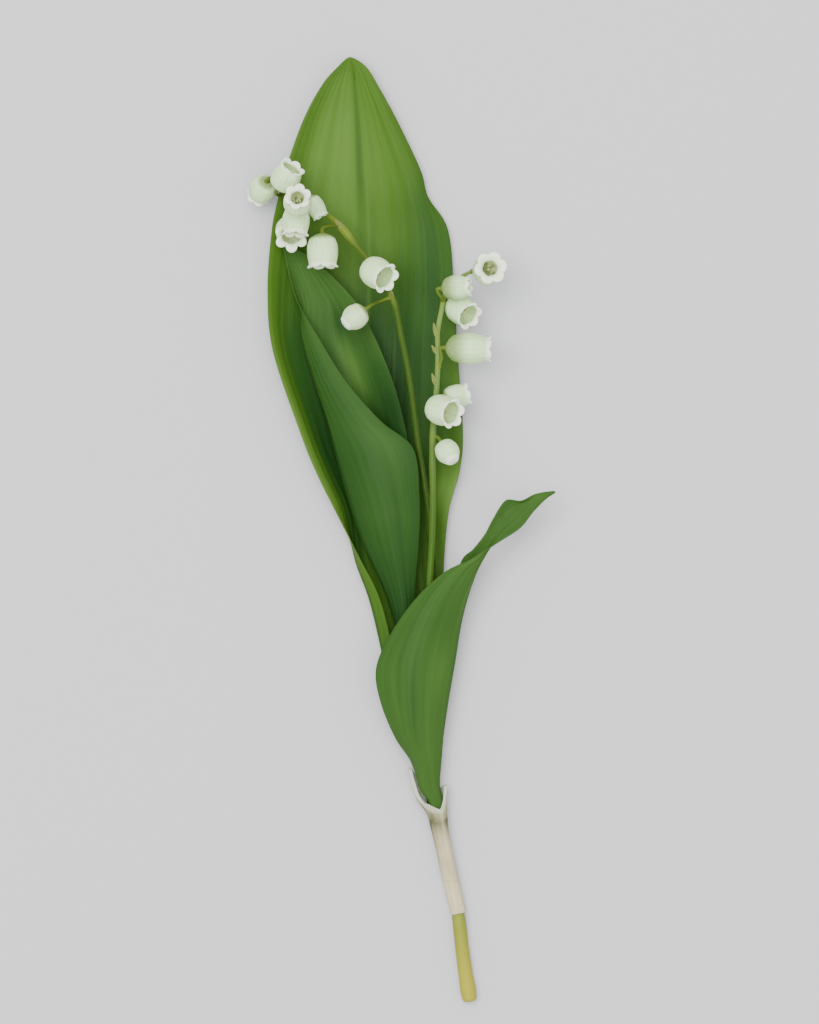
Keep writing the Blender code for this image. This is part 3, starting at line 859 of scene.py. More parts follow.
@dataclass
class Bell:
    """A nodding bell of six joined petals with its pistil and stamens.

    Levels and ranges are shares of the way down, and widths shares of the radius. The lip's turn is in
    degrees, at a notch and more at a lobe. A part inside is given by its radii in millimetres, its sides
    and its rings, the two on the axis also by where they run, and a stamen's foot, knee and head by
    millimetres from the axis and the share of the way down.
    """

    node: str
    middle: Triple
    direction: Triple
    size: float
    stretch: float
    opening: float
    route: tuple
    form: BellForm
    spin: float
    radius: float = 3.8 * MM
    length: float = 8.4 * MM
    wall: float = 0.42 * MM
    wall_growth: Pair = (0.85, 0.35)
    wall_range: Pair = (0.7, 0.92)
    least_wall: float = 0.2 * MM
    rim_power: int = 14
    lobes: int = 6
    lobe_power: float = 0.3
    lobe_length: float = 0.5 * MM
    notch_length: float = 0.2
    lip_turn: Pair = (15, 105)
    around: int = 96
    rings: tuple[int, int, int] = (5, 30, 16)
    levels: tuple = (0, 0.012, 0.035, 0.10, 0.30, 0.56, 0.80, 0.90)
    widths: tuple = (0, 0.22, 0.38, 0.66, 0.94, 1.0)
    furrow: float = 0.018
    furrow_range: Pair = (0.2, 0.8)
    throat_range: Pair = (0.3, 0.72)
    crown_strength: float = 0.9
    crown_solid: float = 0.3
    bud_opening: Pair = (0.25, 0.6)
    bud_mouth: float = 0.62
    bud_height: float = 0.45
    least_mouth: float = 0.55
    least_waist: float = 0.45
    least_curl: float = 0.55
    seed_case: tuple = ((0.03, 0.36), (0.1, 0.95, 1.1, 0.8, 0.35), 18, 16)
    column: tuple = ((0.3, 0.68), (0.4, 0.32, 0.3, 0.34, 0.42, 0.1), 12, 14)
    stamen: tuple = ((1.5, 0.12), (1.75, 0.32), (1.45, 0.56))
    thread: tuple = ((0.16, 0.13, 0.11), 8, 6)
    anther: tuple = ((0.1, 0.36, 0.4, 0.3, 0.06), 10, 12)

    def axis(self) -> Array:
        """Unit vector along which the mouth faces."""
        return unit(np.array(self.direction, dtype=float))

    def depth(self) -> float:
        """Length of the bell from its crown to its lip."""
        return self.size * self.stretch * self.length

    def crown(self) -> Array:
        """The point where the bell's stalk meets it."""
        return SHEET.place(self.middle) - self.axis() * (self.depth() / 2)

    def stand(self, points: Array) -> Array:
        """Points given about the bell's axis from its crown, set in their place."""
        axis = self.axis()
        side = np.eye(3)[np.abs(axis).argmin()]
        side = unit(side - axis * (side @ axis))
        return points @ np.stack((side, np.cross(axis, side), axis)) + self.crown()

    def profile(self) -> tuple[Array, Array, Array]:
        """The outer face of the wall, as radius and depth for each station and angle.

        Down the body the radius follows a smooth curve. At the lip the wall turns outward on an arc,
        far over each broad lobe and little in the narrow notches. On a bud it closes in a dome instead:
        its radius falls with the cosine and its depth grows with the sine of the way to the tip.

        Returns:
            Radius, depth from the crown, and the share of the way down, each a grid.
        """
        angle = turns(self.around)
        lobe = 1 - self.form.cut * (1 - ((1 + np.cos(self.lobes * angle)) / 2) ** self.lobe_power)
        shut = 1 - float(ease(self.opening, *self.bud_opening))
        open_mouth = self.form.throat * from_least(self.least_mouth, self.opening)
        mouth = open_mouth + (self.bud_mouth - open_mouth) * shut
        radii = np.array([*self.widths, from_least(self.least_waist, mouth), mouth])
        cap, body, lip = self.rings
        shoulder, end = self.levels[2], self.levels[-1]
        down = np.concatenate((np.linspace(0, shoulder, cap)[:-1], np.linspace(shoulder, end, body)))
        swell = self.furrow * ease(down, *self.furrow_range)[:, None] * np.cos(self.lobes * angle)[None, :]
        r = smooth(radii[:, None], down, self.levels) * (1 + swell) * self.radius * self.size
        h = spread(down, self.around) * self.depth()
        reach = np.linspace(0, 1, lip)[1:, None]
        least, most = self.lip_turn
        turn = reach * np.radians(least + most * lobe * self.opening)[None, :]
        curl = self.form.curl * self.size * from_least(self.least_curl, lobe)[None, :]
        extra = reach * from_least(self.notch_length, lobe)[None, :] * self.lobe_length * self.size
        open_r = r[-1] + curl * (1 - np.cos(turn))
        open_h = h[-1] + curl * np.sin(turn) + extra
        quarter = reach * math.pi / 2
        bud_r = r[-1] * np.cos(quarter)
        bud_h = h[-1] + self.bud_height * r[-1] * np.sin(quarter)
        lip_r = open_r + (bud_r - open_r) * shut
        lip_h = open_h + (bud_h - open_h) * shut
        v = np.concatenate((down, end + (1 - end) * reach[:, 0]))
        return np.concatenate((r, lip_r)), np.concatenate((h, lip_h)), v

    def petals(self) -> bpy.types.Object:
        """The joined petals: the wall's outer face to the lip, and its inner face back up."""
        r, h, v = self.profile()
        angle = turns(self.around) + self.spin
        outer = np.stack((r * np.cos(angle), r * np.sin(angle), h), axis=-1)
        normals = surface_normals(outer, closed_across=True)
        waist = len(v) // 2
        normals *= np.sign((normals[waist, :, :2] * outer[waist, :, :2]).sum())
        normals[0] = (0, 0, -1)
        thin, growth = self.wall_growth
        depth = self.wall * self.size * (thin + growth * ease(v, *self.wall_range))
        depth = depth * dome(np.linspace(0, 1, len(v)), self.rim_power)
        depth = np.minimum(depth[:, None], r / 2 + self.least_wall)
        inner = outer - normals * depth[..., None]
        down = np.concatenate((v, v[-2::-1]))
        inside = np.concatenate((np.zeros(len(v)), np.ones(len(v) - 1)))
        throat = self.form.inner * (1 - ease(down, *self.throat_range))
        end = self.form.crown
        crown = self.crown_strength * (1 - ease(down, self.crown_solid * end, end))
        mask, tone = (spread(row, self.around) for row in (inside, np.where(inside > 0, throat, crown)))
        points = self.stand(np.concatenate((outer, inner[-2::-1])))
        uv = uv_grid(np.linspace(0, 1, self.around + 1), down)
        return make_piece(f"{self.node}_petals", [Patch(points, uv, True, mask, tone)])

    def spindle(self, start: Array, end: Array, radii: tuple, sides: int, rings: int) -> Patch:
        """A turned body between two points about the bell's axis, its radii in millimetres along it."""
        share = np.linspace(0, 1, rings)[:, None]
        path = self.stand(start * (1 - share) + end * share)
        radius = smooth(np.array(radii)[:, None] * MM, share[:, 0])[:, 0]
        return tube(path, radius * self.size, sides)

    def pistil(self) -> bpy.types.Object:
        """The pistil: a plump seed case at the crown that draws out into a short blunt column."""
        along = np.array((0, 0, self.depth()))
        parts = (self.seed_case, self.column)
        patches = [self.spindle(along * start, along * end, *form) for (start, end), *form in parts]
        return make_piece(f"{self.node}_pistil", patches)

    def stamens(self) -> bpy.types.Object:
        """Six stamens round the pistil, a pointed anther on a short thread each."""
        patches = []
        for number in range(self.lobes):
            turn = FULL_TURN * (number + 0.5) / self.lobes + self.spin
            way = np.array((math.cos(turn), math.sin(turn), 0)) * MM * self.size
            foot, knee, head = (way * out + (0, 0, down * self.depth()) for out, down in self.stamen)
            patches.append(self.spindle(foot, knee, *self.thread))
            patches.append(self.spindle(knee, head, *self.anther))
        return make_piece(f"{self.node}_stamens", patches)


@dataclass
class FlowerStalk:
    """A main stalk with the short stalks of its bells and its small papery bracts.

    Nodes, flares and tans are bumps: height, centre, and width. The joint is where a bell stalk's last
    two points lie along the bell's axis, from its crown. A bract's outline is where on the sine its foot
    starts, the sine's power, and how much of the width is lost by the tip.
    """

    node: str
    line: tuple
    bells: list[Bell]
    bracts: tuple
    nodes: tuple
    sides: int = 20
    rings: int = 260
    ridge: float = 0.07
    rounding: float = 0.006
    bell_stalk_radius: float = 0.42 * MM
    bell_stalk_sides: int = 14
    bell_stalk_rings: int = 44
    bell_stalk_ridge: float = 0.04
    bell_stalk_ridges: int = 4
    bell_stalk_flares: tuple = ((0.55, 0.0, 0.12), (0.6, 1.0, 0.08))
    bell_stalk_tan: float = 0.45
    bell_stalk_tans: tuple = ((0.4, 0.0, 0.25), (0.2, 1.0, 0.2))
    joint: Pair = (-1.1 * MM, 0.15 * MM)
    bract_grid: tuple[int, int] = (22, 13)
    bract_outline: Triple = (0.1, 0.8, 0.25)
    bract_powers: tuple[int, int] = (20, 8)
    bract_thickness: float = 0.09 * MM
    bract_bend: float = 0.3 * MM

    def main_tube(self) -> Patch:
        """The main stalk, faintly five-ridged, its radius read from the line, tan at its nodes."""
        line = np.asarray(self.line, dtype=float)
        points = SHEET.place(line[:, :3])
        knots = distances(points)
        at = np.linspace(0, knots[-1], self.rings)
        level, radius = smooth(line[:, (1, 3)], at, knots).T
        radius = radius * MM * rounded(self.rings, self.rounding)
        path = smooth(points, at, knots)
        return tube(path, radius, self.sides, self.ridge, tone=bumps(level, self.nodes))

    def bell_stalk(self, bell: Bell) -> Patch:
        """A bell's own stalk, from inside the main one to the crown, thicker and more tan at both ends."""
        crown, way = bell.crown(), bell.axis()
        route = np.array([*SHEET.place(bell.route), *(crown + way * reach for reach in self.joint)])
        share = np.linspace(0, 1, self.bell_stalk_rings)
        knots = distances(route)
        radius = self.bell_stalk_radius * (1 + bumps(share, self.bell_stalk_flares))
        tan = self.bell_stalk_tan + bumps(share, self.bell_stalk_tans)
        return tube(smooth(route, share * knots[-1], knots), radius, self.bell_stalk_sides,
                    self.bell_stalk_ridge, self.bell_stalk_ridges, tan)

    def build(self) -> bpy.types.Object:
        """The main stalk and its bell stalks in one piece."""
        return make_piece(self.node + "_stalk", [self.main_tube()] + [self.bell_stalk(b) for b in self.bells])

    def bract_piece(self) -> bpy.types.Object:
        """The bracts: thin pointed scales, widest near the foot and hollowed towards the stalk."""
        rows, columns = self.bract_grid
        t = np.linspace(0, 1, rows)
        s = np.linspace(-1, 1, columns)
        start, power, taper = self.bract_outline
        outline = np.sin(math.pi * np.clip(from_least(start, t), 0, 1)) ** power * (1 - taper * t)
        end_power, edge_power = self.bract_powers
        thick = self.bract_thickness * np.outer(dome(2 * t - 1, end_power), dome(s, edge_power))
        patches = []
        for foot, direction, length, width in self.bracts:
            way = unit(np.array(direction, dtype=float))
            side = unit(np.cross(way, (0, 0, 1.0)))
            half_width = width * MM * outline[:, None]
            hollow = (1 - s**2) * half_width / 2 + t[:, None] ** 2 * self.bract_bend
            points = (SHEET.place(foot) + (spread(t, columns) * length * MM)[..., None] * way
                      + (s * half_width)[..., None] * side - hollow[..., None] * np.cross(side, way))
            patches.append(shell(points, thick, uv_grid((s + 1) / 2, t)))
        return make_piece(self.node + "_bracts", patches)


@dataclass
class Sheath:
    """The papery tube round the upper stem, flaring to a ragged lip round the foot of the leaves.

    A level's row holds y, left x, right x, height and half depth, and the lip the y of its edge at even
    turns. A ripple is its depth, seed and waves.
    A level bump is the strength, y and width of a greenish staining, the first one, just under the frill,
    darker as painted shade. A side bump is on the cosine of the turn, -1 on the left: the clear side keeps a
    band free of the level bumps, and the shaded side adds painted shade down the left of the upper tube. A
    fade is its strength, and where it begins and ends.
    """

    node: str = "sheath"
    levels: tuple = (
        (914, 451, 466, 2.65, 1.9), (880, 442.5, 458.5, 3.05, 1.98), (850, 436, 452.5, 3.45, 2.05),
        (828, 430.5, 448.5, 3.85, 2.3), (812, 425.5, 447.2, 4.15, 2.75), (800, 417, 446.5, 4.4, 3.3),
        (784, 411.5, 446.5, 4.75, 3.95), (764, 407, 445, 5.0, 4.4),
    )
    lip: tuple = (784, 800, 808, 808, 806, 799, 770, 772, 786, 792, 790, 785)
    lip_ripples: tuple = ((2.0, 3, 18), (0.8, 8, 34))
    frill_ripple: tuple = (0.35, 5, 24)
    # greenish staining by level; the first bump, just under the frill, is partly painted shade
    level_stains_and_shade: tuple = ((0.97, 816, 17), (0.3, 855, 24), (0.2, 881, 1.2))
    clear_side: tuple = (0.4, 0.45, 0.2)
    # painted shade down the left side of the upper tube
    shaded_side: tuple = (0.5, -1, 0.12)
    side_levels: Pair = (880, 845)
    lip_fade: tuple = (0.6, 0.84, 0.97)
    lining_fade: tuple = (0.9, 0.86, 0.97)
    frill_range: Pair = (0.9, 0.97)
    foot_tilt: float = 1.4
    mouth: float = 826
    below_mouth: float = 0.62
    folds: int = 5
    fold_turn: float = 1.0
    fold_depth: float = 0.015
    fold_growth: Pair = (0.4, 1.4)
    thickness: float = 0.26 * MM
    frill: float = 0.62 * MM
    end_power: int = 60
    around: int = 240
    rings: int = 150

    def skin(self, angle: Array, t: Array) -> tuple[Array, Array]:
        """The outer face.

        Args:
            angle: angles round the tube.
            t: column of places from the foot, 0, to the lip's edge, 1.

        Returns:
            Grid of points, and the y value of each.
        """
        knots = np.linspace(0, FULL_TURN, len(self.lip) + 1)
        lip = smooth(np.array([*self.lip, self.lip[0]], dtype=float)[:, None], angle, knots)[:, 0]
        for height, seed, waves in self.lip_ripples:
            lip = lip + height * ripple(angle / FULL_TURN, seed, waves)
        foot = self.levels[0][0] - self.foot_tilt * np.cos(angle)
        low = np.clip(t / self.below_mouth, 0, 1)
        high = np.clip((t - self.below_mouth) / (1 - self.below_mouth), 0, 1)
        level = foot + (self.mouth - foot) * low + (lip - self.mouth) * high
        table = by_level(self.levels, level.ravel()).reshape(*level.shape, 4)
        left, right, height, depth = np.moveaxis(table, -1, 0)
        least, growth = self.fold_growth
        fold = 1 + self.fold_depth * np.sin(self.folds * angle + self.fold_turn) * (least + growth * high)
        x = (left + right) / 2 + (right - left) / 2 * np.cos(angle) * fold
        z = height + depth * np.sin(angle) * fold
        return SHEET.place(np.stack((x, level, z), axis=-1)), level

    def stain_and_shade(self, angle: Array, t: Array, level: Array) -> Array:
        """How stained and shaded the outer face is: greenish staining by level, with painted shade under the
        frill, and painted shade on the left side, all fading on the lip.
        """
        side = np.cos(angle)
        low, high = self.side_levels
        stain_and_shade = bumps(level, self.level_stains_and_shade) * (1 - bumps(side, (self.clear_side,)))
        stain_and_shade = stain_and_shade + bumps(side, (self.shaded_side,)) * ease(-level, -low, -high)
        fade, *reach = self.lip_fade
        return np.clip(stain_and_shade * (1 - fade * ease(t, *reach)), 0, 1)

    def build(self) -> bpy.types.Object:
        """The tube's outer and inner faces, joined at the foot and in a thick rolled frill at the lip."""
        angle = turns(self.around)
        t = np.linspace(0, 1, self.rings)[:, None]
        skin, level = self.skin(angle, t)
        normals = surface_normals(skin, closed_across=True)
        outward = np.sign((normals * (skin - skin.mean(axis=1, keepdims=True))).sum())
        gain, seed, waves = self.frill_ripple
        waver = 1 + gain * ripple(angle / FULL_TURN, seed, waves)
        rolled = self.frill * ease(t, *self.frill_range) * waver[None, :]
        depth = (self.thickness + rolled) * dome(2 * t - 1, self.end_power)
        inner = skin - normals * outward * depth[..., None]
        points = np.concatenate((skin, inner[-2:0:-1], skin[:1]))
        back = self.rings - 1
        strength, *reach = self.lining_fade
        inside = np.concatenate((strength * ease(t[:, 0], *reach), np.ones(back)))
        stain_and_shade = np.concatenate((self.stain_and_shade(angle, t, level), np.zeros((back, self.around))))
        uv = uv_grid(np.linspace(0, 1, self.around + 1), np.concatenate((t, t[-2:0:-1], t[:1]))[:, 0])
        return make_piece("sheath_skin", [Patch(points, uv, True, spread(inside, self.around), stain_and_shade)])


@dataclass
class Stem:
    """The short cut stem, ribbed and rounded at its cut end, slim where it runs inside the sheath."""

    node: str = "stem"
    radii: tuple = (
        (1001, 1.35), (999.5, 1.7), (996, 1.86), (975, 1.8), (945, 1.68), (918, 1.62), (912, 1.5),
        (905, 1.3), (880, 1.15), (845, 1.0), (815, 0.9), (800, 0.85), (786, 0.85),
    )
    rings: int = 180
    crowding: float = 1.3
    sides: int = 40
    ridge: float = 0.012
    ridges: int = 11

    def build(self) -> bpy.types.Object:
        """The stem as one tube along its middle line, its rings closest together at the cut end."""
        low, high = self.radii[0][0], self.radii[-1][0]
        level = low - (low - high) * np.linspace(0, 1, self.rings) ** self.crowding
        middle = stem_middle(level)
        path = SHEET.place(np.column_stack((middle[:, 0], level, middle[:, 1])))
        radius = by_level(self.radii, level)[:, 0] * MM
        return make_piece("stem_core", [tube(path, radius, self.sides, self.ridge, self.ridges)])


BACK_LEAF_FOOT = (233, 250, 266, 282, 297)
BACK_LEAF = (
    ((421, 786, 2.7), (423, 786, 2.35), (426, 785, 2.15), (431, 784, 2.1), (434, 784, 2.35)),
    ((411, 762, 3.7), (415, 762, 2.1), (422, 761, 1.4), (428, 760, 1.4), (433, 760, 2.2)),
    ((400, 737, 4.2), (404, 737, 2.0), (416, 735, 1.0), (427, 734, 1.2), (434, 733, 2.2)),
    ((393, 702, 4.8), (391, 702, 2.2), (408, 700, 0.7), (424, 699, 1.1), (435, 698, 2.3)),
    ((394, 660, 5.6), (384, 660, 2.8), (402, 658, 0.6), (421, 657, 1.1), (438, 656, 2.5)),
    ((381, 602, 6.4), (370.5, 601, 3.4), (393, 600, 0.1), (419, 600, 0.8), (443, 600, 3.0)),
    ((361, 560, 6.4), (357, 560, 3.0), (384, 560, -0.3), (415, 560, 0.7), (444, 560, 3.4)),
    ((335, 510, 7.0), (349, 510, 2.4), (376, 510, -0.5), (413, 510, 0.7), (449, 510, 3.8)),
    ((315, 470, 7.6), (333, 470, 2.7), (372, 470, -0.5), (416, 470, 0.9), (460, 470, 3.9)),
    ((299, 430, 8.2), (319, 430, 3.0), (368, 430, -0.6), (418, 430, 1.0), (463, 430, 4.0)),
    ((272, 350, 8.6), (297, 350, 3.4), (366, 350, -0.6), (420, 350, 1.4), (457.5, 350, 3.2)),
    ((267, 290, 7.8), (297, 290, 3.2), (367, 290, -0.4), (423, 290, 2.1), (454, 290, 2.2)),
    ((271.5, 230, 6.4), (303, 230, 2.9), (367, 230, 0.2), (421, 230, 2.8), (448, 230, 2.0)),
    ((278, 197, 6.2), (308, 197, 2.9), (366, 197, 0.9), (415, 197, 3.6), (428, 197, 2.4)),
    ((285, 170, 6.0), (314, 170, 3.0), (364, 170, 1.3), (408, 170, 3.9), (420.5, 170, 2.7)),
    ((303, 120, 5.8), (325, 118, 3.6), (360, 116, 2.3), (386, 118, 4.2), (397, 120, 3.5)),
    ((322, 85, 5.6), (337, 82, 4.3), (355, 80, 3.6), (370, 82, 4.7), (378.5, 86, 4.5)),
    ((338, 66.5, 5.7), (345, 65, 5.0), (352.5, 64, 4.8), (360, 65, 5.1), (366.5, 67, 5.2)),
    ((347, 58, 5.6), (348.5, 57.3, 5.5), (350, 57, 5.45), (351.5, 57.2, 5.5), (353, 57.8, 5.6)),
)
INNER_LEAF_FOOT = (200, 192, 184, 176, 168)
INNER_LEAF = (
    ((426, 785, 4.0), (424.5, 785, 4.4), (423.5, 785, 4.9), (424.5, 785, 5.3), (426, 785, 5.6)),
    ((427, 760, 3.9), (421.5, 760, 3.4), (416.5, 760, 4.6), (418, 760, 6.3), (424, 760, 7.0)),
    ((426, 735, 4.0), (419.5, 735, 3.0), (413, 735, 4.6), (415, 735, 7.0), (423, 735, 7.2)),
    ((424, 700, 4.3), (416, 700, 2.9), (408, 700, 4.8), (411, 700, 7.6), (421, 700, 7.6)),
    ((420, 655, 4.6), (412, 655, 2.9), (402, 655, 5.0), (407, 655, 8.2), (419, 655, 7.8)),
    ((413, 600, 5.2), (403, 602, 2.9), (388.5, 600, 5.4), (401, 599, 9.4), (415, 600, 8.3)),
    ((411, 545, 6.0), (389, 547, 2.8), (364, 545, 6.4), (389, 544, 11.4), (419, 545, 9.8)),
    ((411, 500, 6.6), (379, 502, 2.8), (349, 500, 7.0), (379, 499, 12.8), (420, 500, 11.0)),
    ((409, 450, 7.4), (367, 452, 2.9), (335, 450, 7.2), (361, 448, 12.4), (414, 449, 12.2)),
    ((404, 420, 7.8), (360, 422, 3.2), (328, 420, 7.0), (344, 418, 11.4), (381, 421, 12.6)),
    ((393, 380, 7.8), (350, 382, 3.5), (316, 380, 6.6), (323, 378, 10.2), (345, 380, 11.8)),
    ((374, 335, 7.4), (336, 337, 3.9), (304.5, 335, 6.0), (306.5, 334, 8.2), (316.5, 334, 9.8)),
    ((356, 302, 6.6), (329, 303, 4.3), (306, 302, 4.6), (299, 301, 5.8), (296.5, 300, 7.4)),
    ((323, 267, 6.2), (307, 266, 4.9), (295, 266, 4.8), (289.5, 266, 5.4), (286.5, 266, 6.2)),
    ((299, 250, 6.4), (293, 250, 5.8), (289, 250, 5.7), (286, 250, 5.9), (283.5, 250, 6.3)),
    ((284.5, 241, 6.6), (283.5, 240.6, 6.5), (282.5, 240.4, 6.5), (281.5, 240.6, 6.5), (280.5, 241, 6.6)),
)
FRONT_LEAF_FOOT = (135, 88, 25, -15, -42)
FRONT_LEAF = (
    ((419, 788, 6.2), (426, 787, 7.3), (438, 785, 5.7), (438.5, 784, 3.9), (437, 784, 2.9)),
    ((411.5, 763, 6.6), (421, 761, 9.4), (439, 760, 6.7), (440, 760, 4.5), (437, 760, 2.9)),
    ((394.5, 737, 7.6), (415, 735, 11.2), (441, 733, 7.6), (441.5, 732, 4.7), (438, 732, 2.8)),
    ((380, 701, 8.6), (412, 699, 12.4), (445.5, 698, 8.4), (446, 697, 5.1), (440, 697, 2.9)),
    ((376, 668, 9.4), (414, 663, 13.2), (452, 660, 8.9), (451, 659, 5.3), (442.5, 659, 3.1)),
    ((391, 633, 10.6), (424, 628, 14.0), (458, 625, 9.8), (456.5, 624, 6.0), (446, 623, 3.8)),
    ((416, 598, 12.2), (440, 595, 14.3), (465.5, 598, 10.8), (463, 596, 7.2), (452, 594, 4.8)),
    ((444, 572.5, 13.4), (460, 570, 14.0), (476, 572, 11.8), (471, 567, 8.8), (461, 561, 7.0)),
    ((467, 561, 13.6), (476, 559, 13.7), (484, 557, 12.4), (479, 551, 10.6), (473, 549, 9.8)),
    ((487, 549, 14.1), (490, 547, 13.6), (492, 543, 12.8), (488, 538, 11.9), (484.5, 534.5, 12.0)),
    ((504, 539, 14.3), (502, 534, 13.6), (499, 529, 12.8), (495.5, 523, 12.6), (493, 519, 13.3)),
    ((521, 527.5, 14.0), (517, 521, 13.3), (512, 514, 12.9), (508, 506, 13.2), (505.5, 500.5, 14.0)),
    ((534, 511.5, 13.4), (530, 507, 12.8), (526, 503, 12.5), (523.5, 501.5, 12.9), (521, 500.8, 13.6)),
    ((547, 498.5, 12.4), (545, 497, 12.1), (542.5, 496, 12.0), (538.5, 495, 12.1), (535, 494, 12.4)),
    ((556, 492.4, 11.4), (555.5, 492, 11.3), (555, 491.6, 11.3), (554.5, 491.2, 11.3), (554, 490.8, 11.4)),
)

# Tone along the back blade, with painted shade: darker low down where the other leaves lie over it. Its spots
# add painted light on the upper left and on lifted margins, and painted shade beside the inner leaf, the
# stalks and the midrib's groove.
BACK_TONES_WITH_SHADE = (
    (0, 0.6), (0.4, 0.64), (0.55, 0.56), (0.6, 0.56), (0.65, 0.6), (0.7, 0.7), (0.75, 0.76), (0.8, 0.8),
    (1, 0.83),
)
BACK_PAINTED_LIGHT = (
    PaintedLight(0.78, 0.32, 0.1, 0.2, 0.14), PaintedLight(0.7, 0.4, 0.05, 0.15, 0.1), PaintedLight(0.73, 0.95, 0.13, 0.28, -0.15),
    PaintedLight(0.52, 0.02, 0.12, 0.12, 0.45), PaintedLight(0.5, 0.26, 0.12, 0.08, -0.34),
    PaintedLight(0.57, 0.62, 0.05, 0.1, -0.25),
    PaintedLight(0.59, 1.0, 0.05, 0.12, 0.16), PaintedLight(0.48, 1.0, 0.05, 0.13, 0.36), PaintedLight(0.8, 0.475, 0.12, 0.02, -0.26),
    PaintedLight(0.86, 0.1, 0.06, 0.12, -0.08),
)
# Tone along the inner blade, with painted shade: dark where it runs down under the front leaf. Its spots add
# painted light on the flap and painted shade along its folds.
INNER_TONES_WITH_SHADE = (
    (0, 0.1), (0.35, 0.2), (0.41, 0.36), (0.465, 0.5), (0.51, 0.55), (0.575, 0.5), (0.72, 0.54),
    (0.8, 0.62), (0.9, 0.68), (1, 0.7),
)
INNER_PAINTED_LIGHT = (
    PaintedLight(0.52, 1.0, 0.1, 0.06, -0.08), PaintedLight(0.5, 0.5, 0.08, 0.1, -0.1), PaintedLight(0.6, 0.86, 0.05, 0.08, 0.1),
    PaintedLight(0.72, 0.2, 0.05, 0.08, 0.2), PaintedLight(0.66, 0.04, 0.05, 0.1, -0.22),
    PaintedLight(0.79, 0.2, 0.03, 0.06, -0.2),
)
# Tone along the front blade, with painted light and shade; its spots add a little more of both.
FRONT_TONES_WITH_SHADE = (
    (0, 0.65), (0.2, 0.68), (0.3, 0.64), (0.45, 0.58), (0.55, 0.64), (0.68, 0.66), (0.8, 0.64), (1, 0.7),
)
FRONT_PAINTED_LIGHT = (
    PaintedLight(0.3, 0.26, 0.08, 0.04, -0.08), PaintedLight(0.36, 0.4, 0.05, 0.06, 0.08), PaintedLight(0.5, 0.5, 0.1, 0.06, 0.12),
    PaintedLight(0.62, 0.2, 0.05, 0.2, 0.06),
)

LEFT_STALK = (
    (433, 784, 3.95, 0.5), (434, 760, 4.5, 0.62), (435, 735, 5.3, 0.7), (436.5, 700, 6.3, 0.75),
    (436, 660, 7.2, 0.75), (435.5, 620, 7.9, 0.75), (434, 575, 8.2, 0.75), (430.5, 540, 8.4, 0.75),
    (428, 505, 8.5, 0.75), (424, 480, 8.7, 0.75), (419, 450, 9.2, 0.75), (414, 410, 10.0, 0.75),
    (408, 370, 10.9, 0.75), (401, 335, 11.6, 0.75), (393, 300, 12.1, 0.78), (387, 288, 12.0, 0.72),
    (377, 270, 11.6, 0.7), (365, 256, 11.2, 0.7), (354, 243, 10.6, 0.8), (344, 230.5, 10.0, 0.98),
    (335, 221.5, 9.0, 0.8), (326, 214, 8.2, 0.58), (314, 204, 7.8, 0.52), (300, 194, 8.0, 0.48),
    (287, 187, 8.6, 0.42),
)
RIGHT_STALK = (
    (431.5, 784, 5.25, 0.5), (431, 760, 6.2, 0.66), (432, 735, 7.4, 0.74), (431.5, 700, 8.4, 0.78),
    (430.5, 660, 9.4, 0.8), (430, 620, 9.9, 0.8), (430, 580, 10.3, 0.8), (432, 540, 11.0, 0.8),
    (433, 500, 11.8, 0.8), (432.5, 460, 12.6, 0.8), (433, 430, 13.0, 0.76), (436.5, 390, 13.0, 0.68),
    (438, 350, 13.0, 0.64), (437.5, 335, 13.0, 0.62), (441.5, 310, 12.5, 0.58), (444.5, 295, 11.5, 0.54),
    (450, 284, 10.4, 0.5), (461, 277, 10.2, 0.46), (472, 271, 10.2, 0.42),
)

LEFT_BELLS = (
    ((355, 317, 17.0), (-0.75, -0.55, 0.1), 0.8, 1.0, 0.2, ((391, 297, 12.1), (379, 302, 13.6))),
    ((376, 272.5, 17.8), (0.62, -0.40, 0.67), 1.0, 0.93, 1, ((371, 263, 11.4), (366, 264, 12.6))),
    ((322.5, 250, 13.6), (0.02, -1.0, 0.05), 1.0, 1.0, 1, ((341, 226.5, 9.6), (330, 226, 12.4))),
    ((291.5, 231, 10.2), (0.0, -0.4, 0.92), 1.04, 0.78, 1, ((307, 199, 7.8), (301, 211, 6.6))),
    ((296, 220, 19.4), (-0.05, -0.98, 0.15), 0.87, 1.0, 1, ((302, 195.5, 8.0), (297, 193, 14.5))),
    ((297.5, 202, 28.6), (0.02, 0.25, 0.97), 0.9, 1.0, 1, ((300, 195.5, 7.9), (289.5, 199, 20.5))),
    ((315.5, 206.5, 13.2), (0.47, -0.88, 0.05), 0.58, 1.25, 0.85, ((307, 199, 7.8), (304, 190, 10.4))),
    ((285.5, 178, 15.4), (0.48, 0.70, 0.5), 0.94, 0.92, 0.85, ((289, 188, 8.5), (281, 195, 10.0))),
    ((262.5, 188.5, 9.8), (-0.33, -0.45, -0.83), 0.88, 0.95, 0.8, ((288, 187.5, 8.6), (278, 178.5, 10.5))),
)
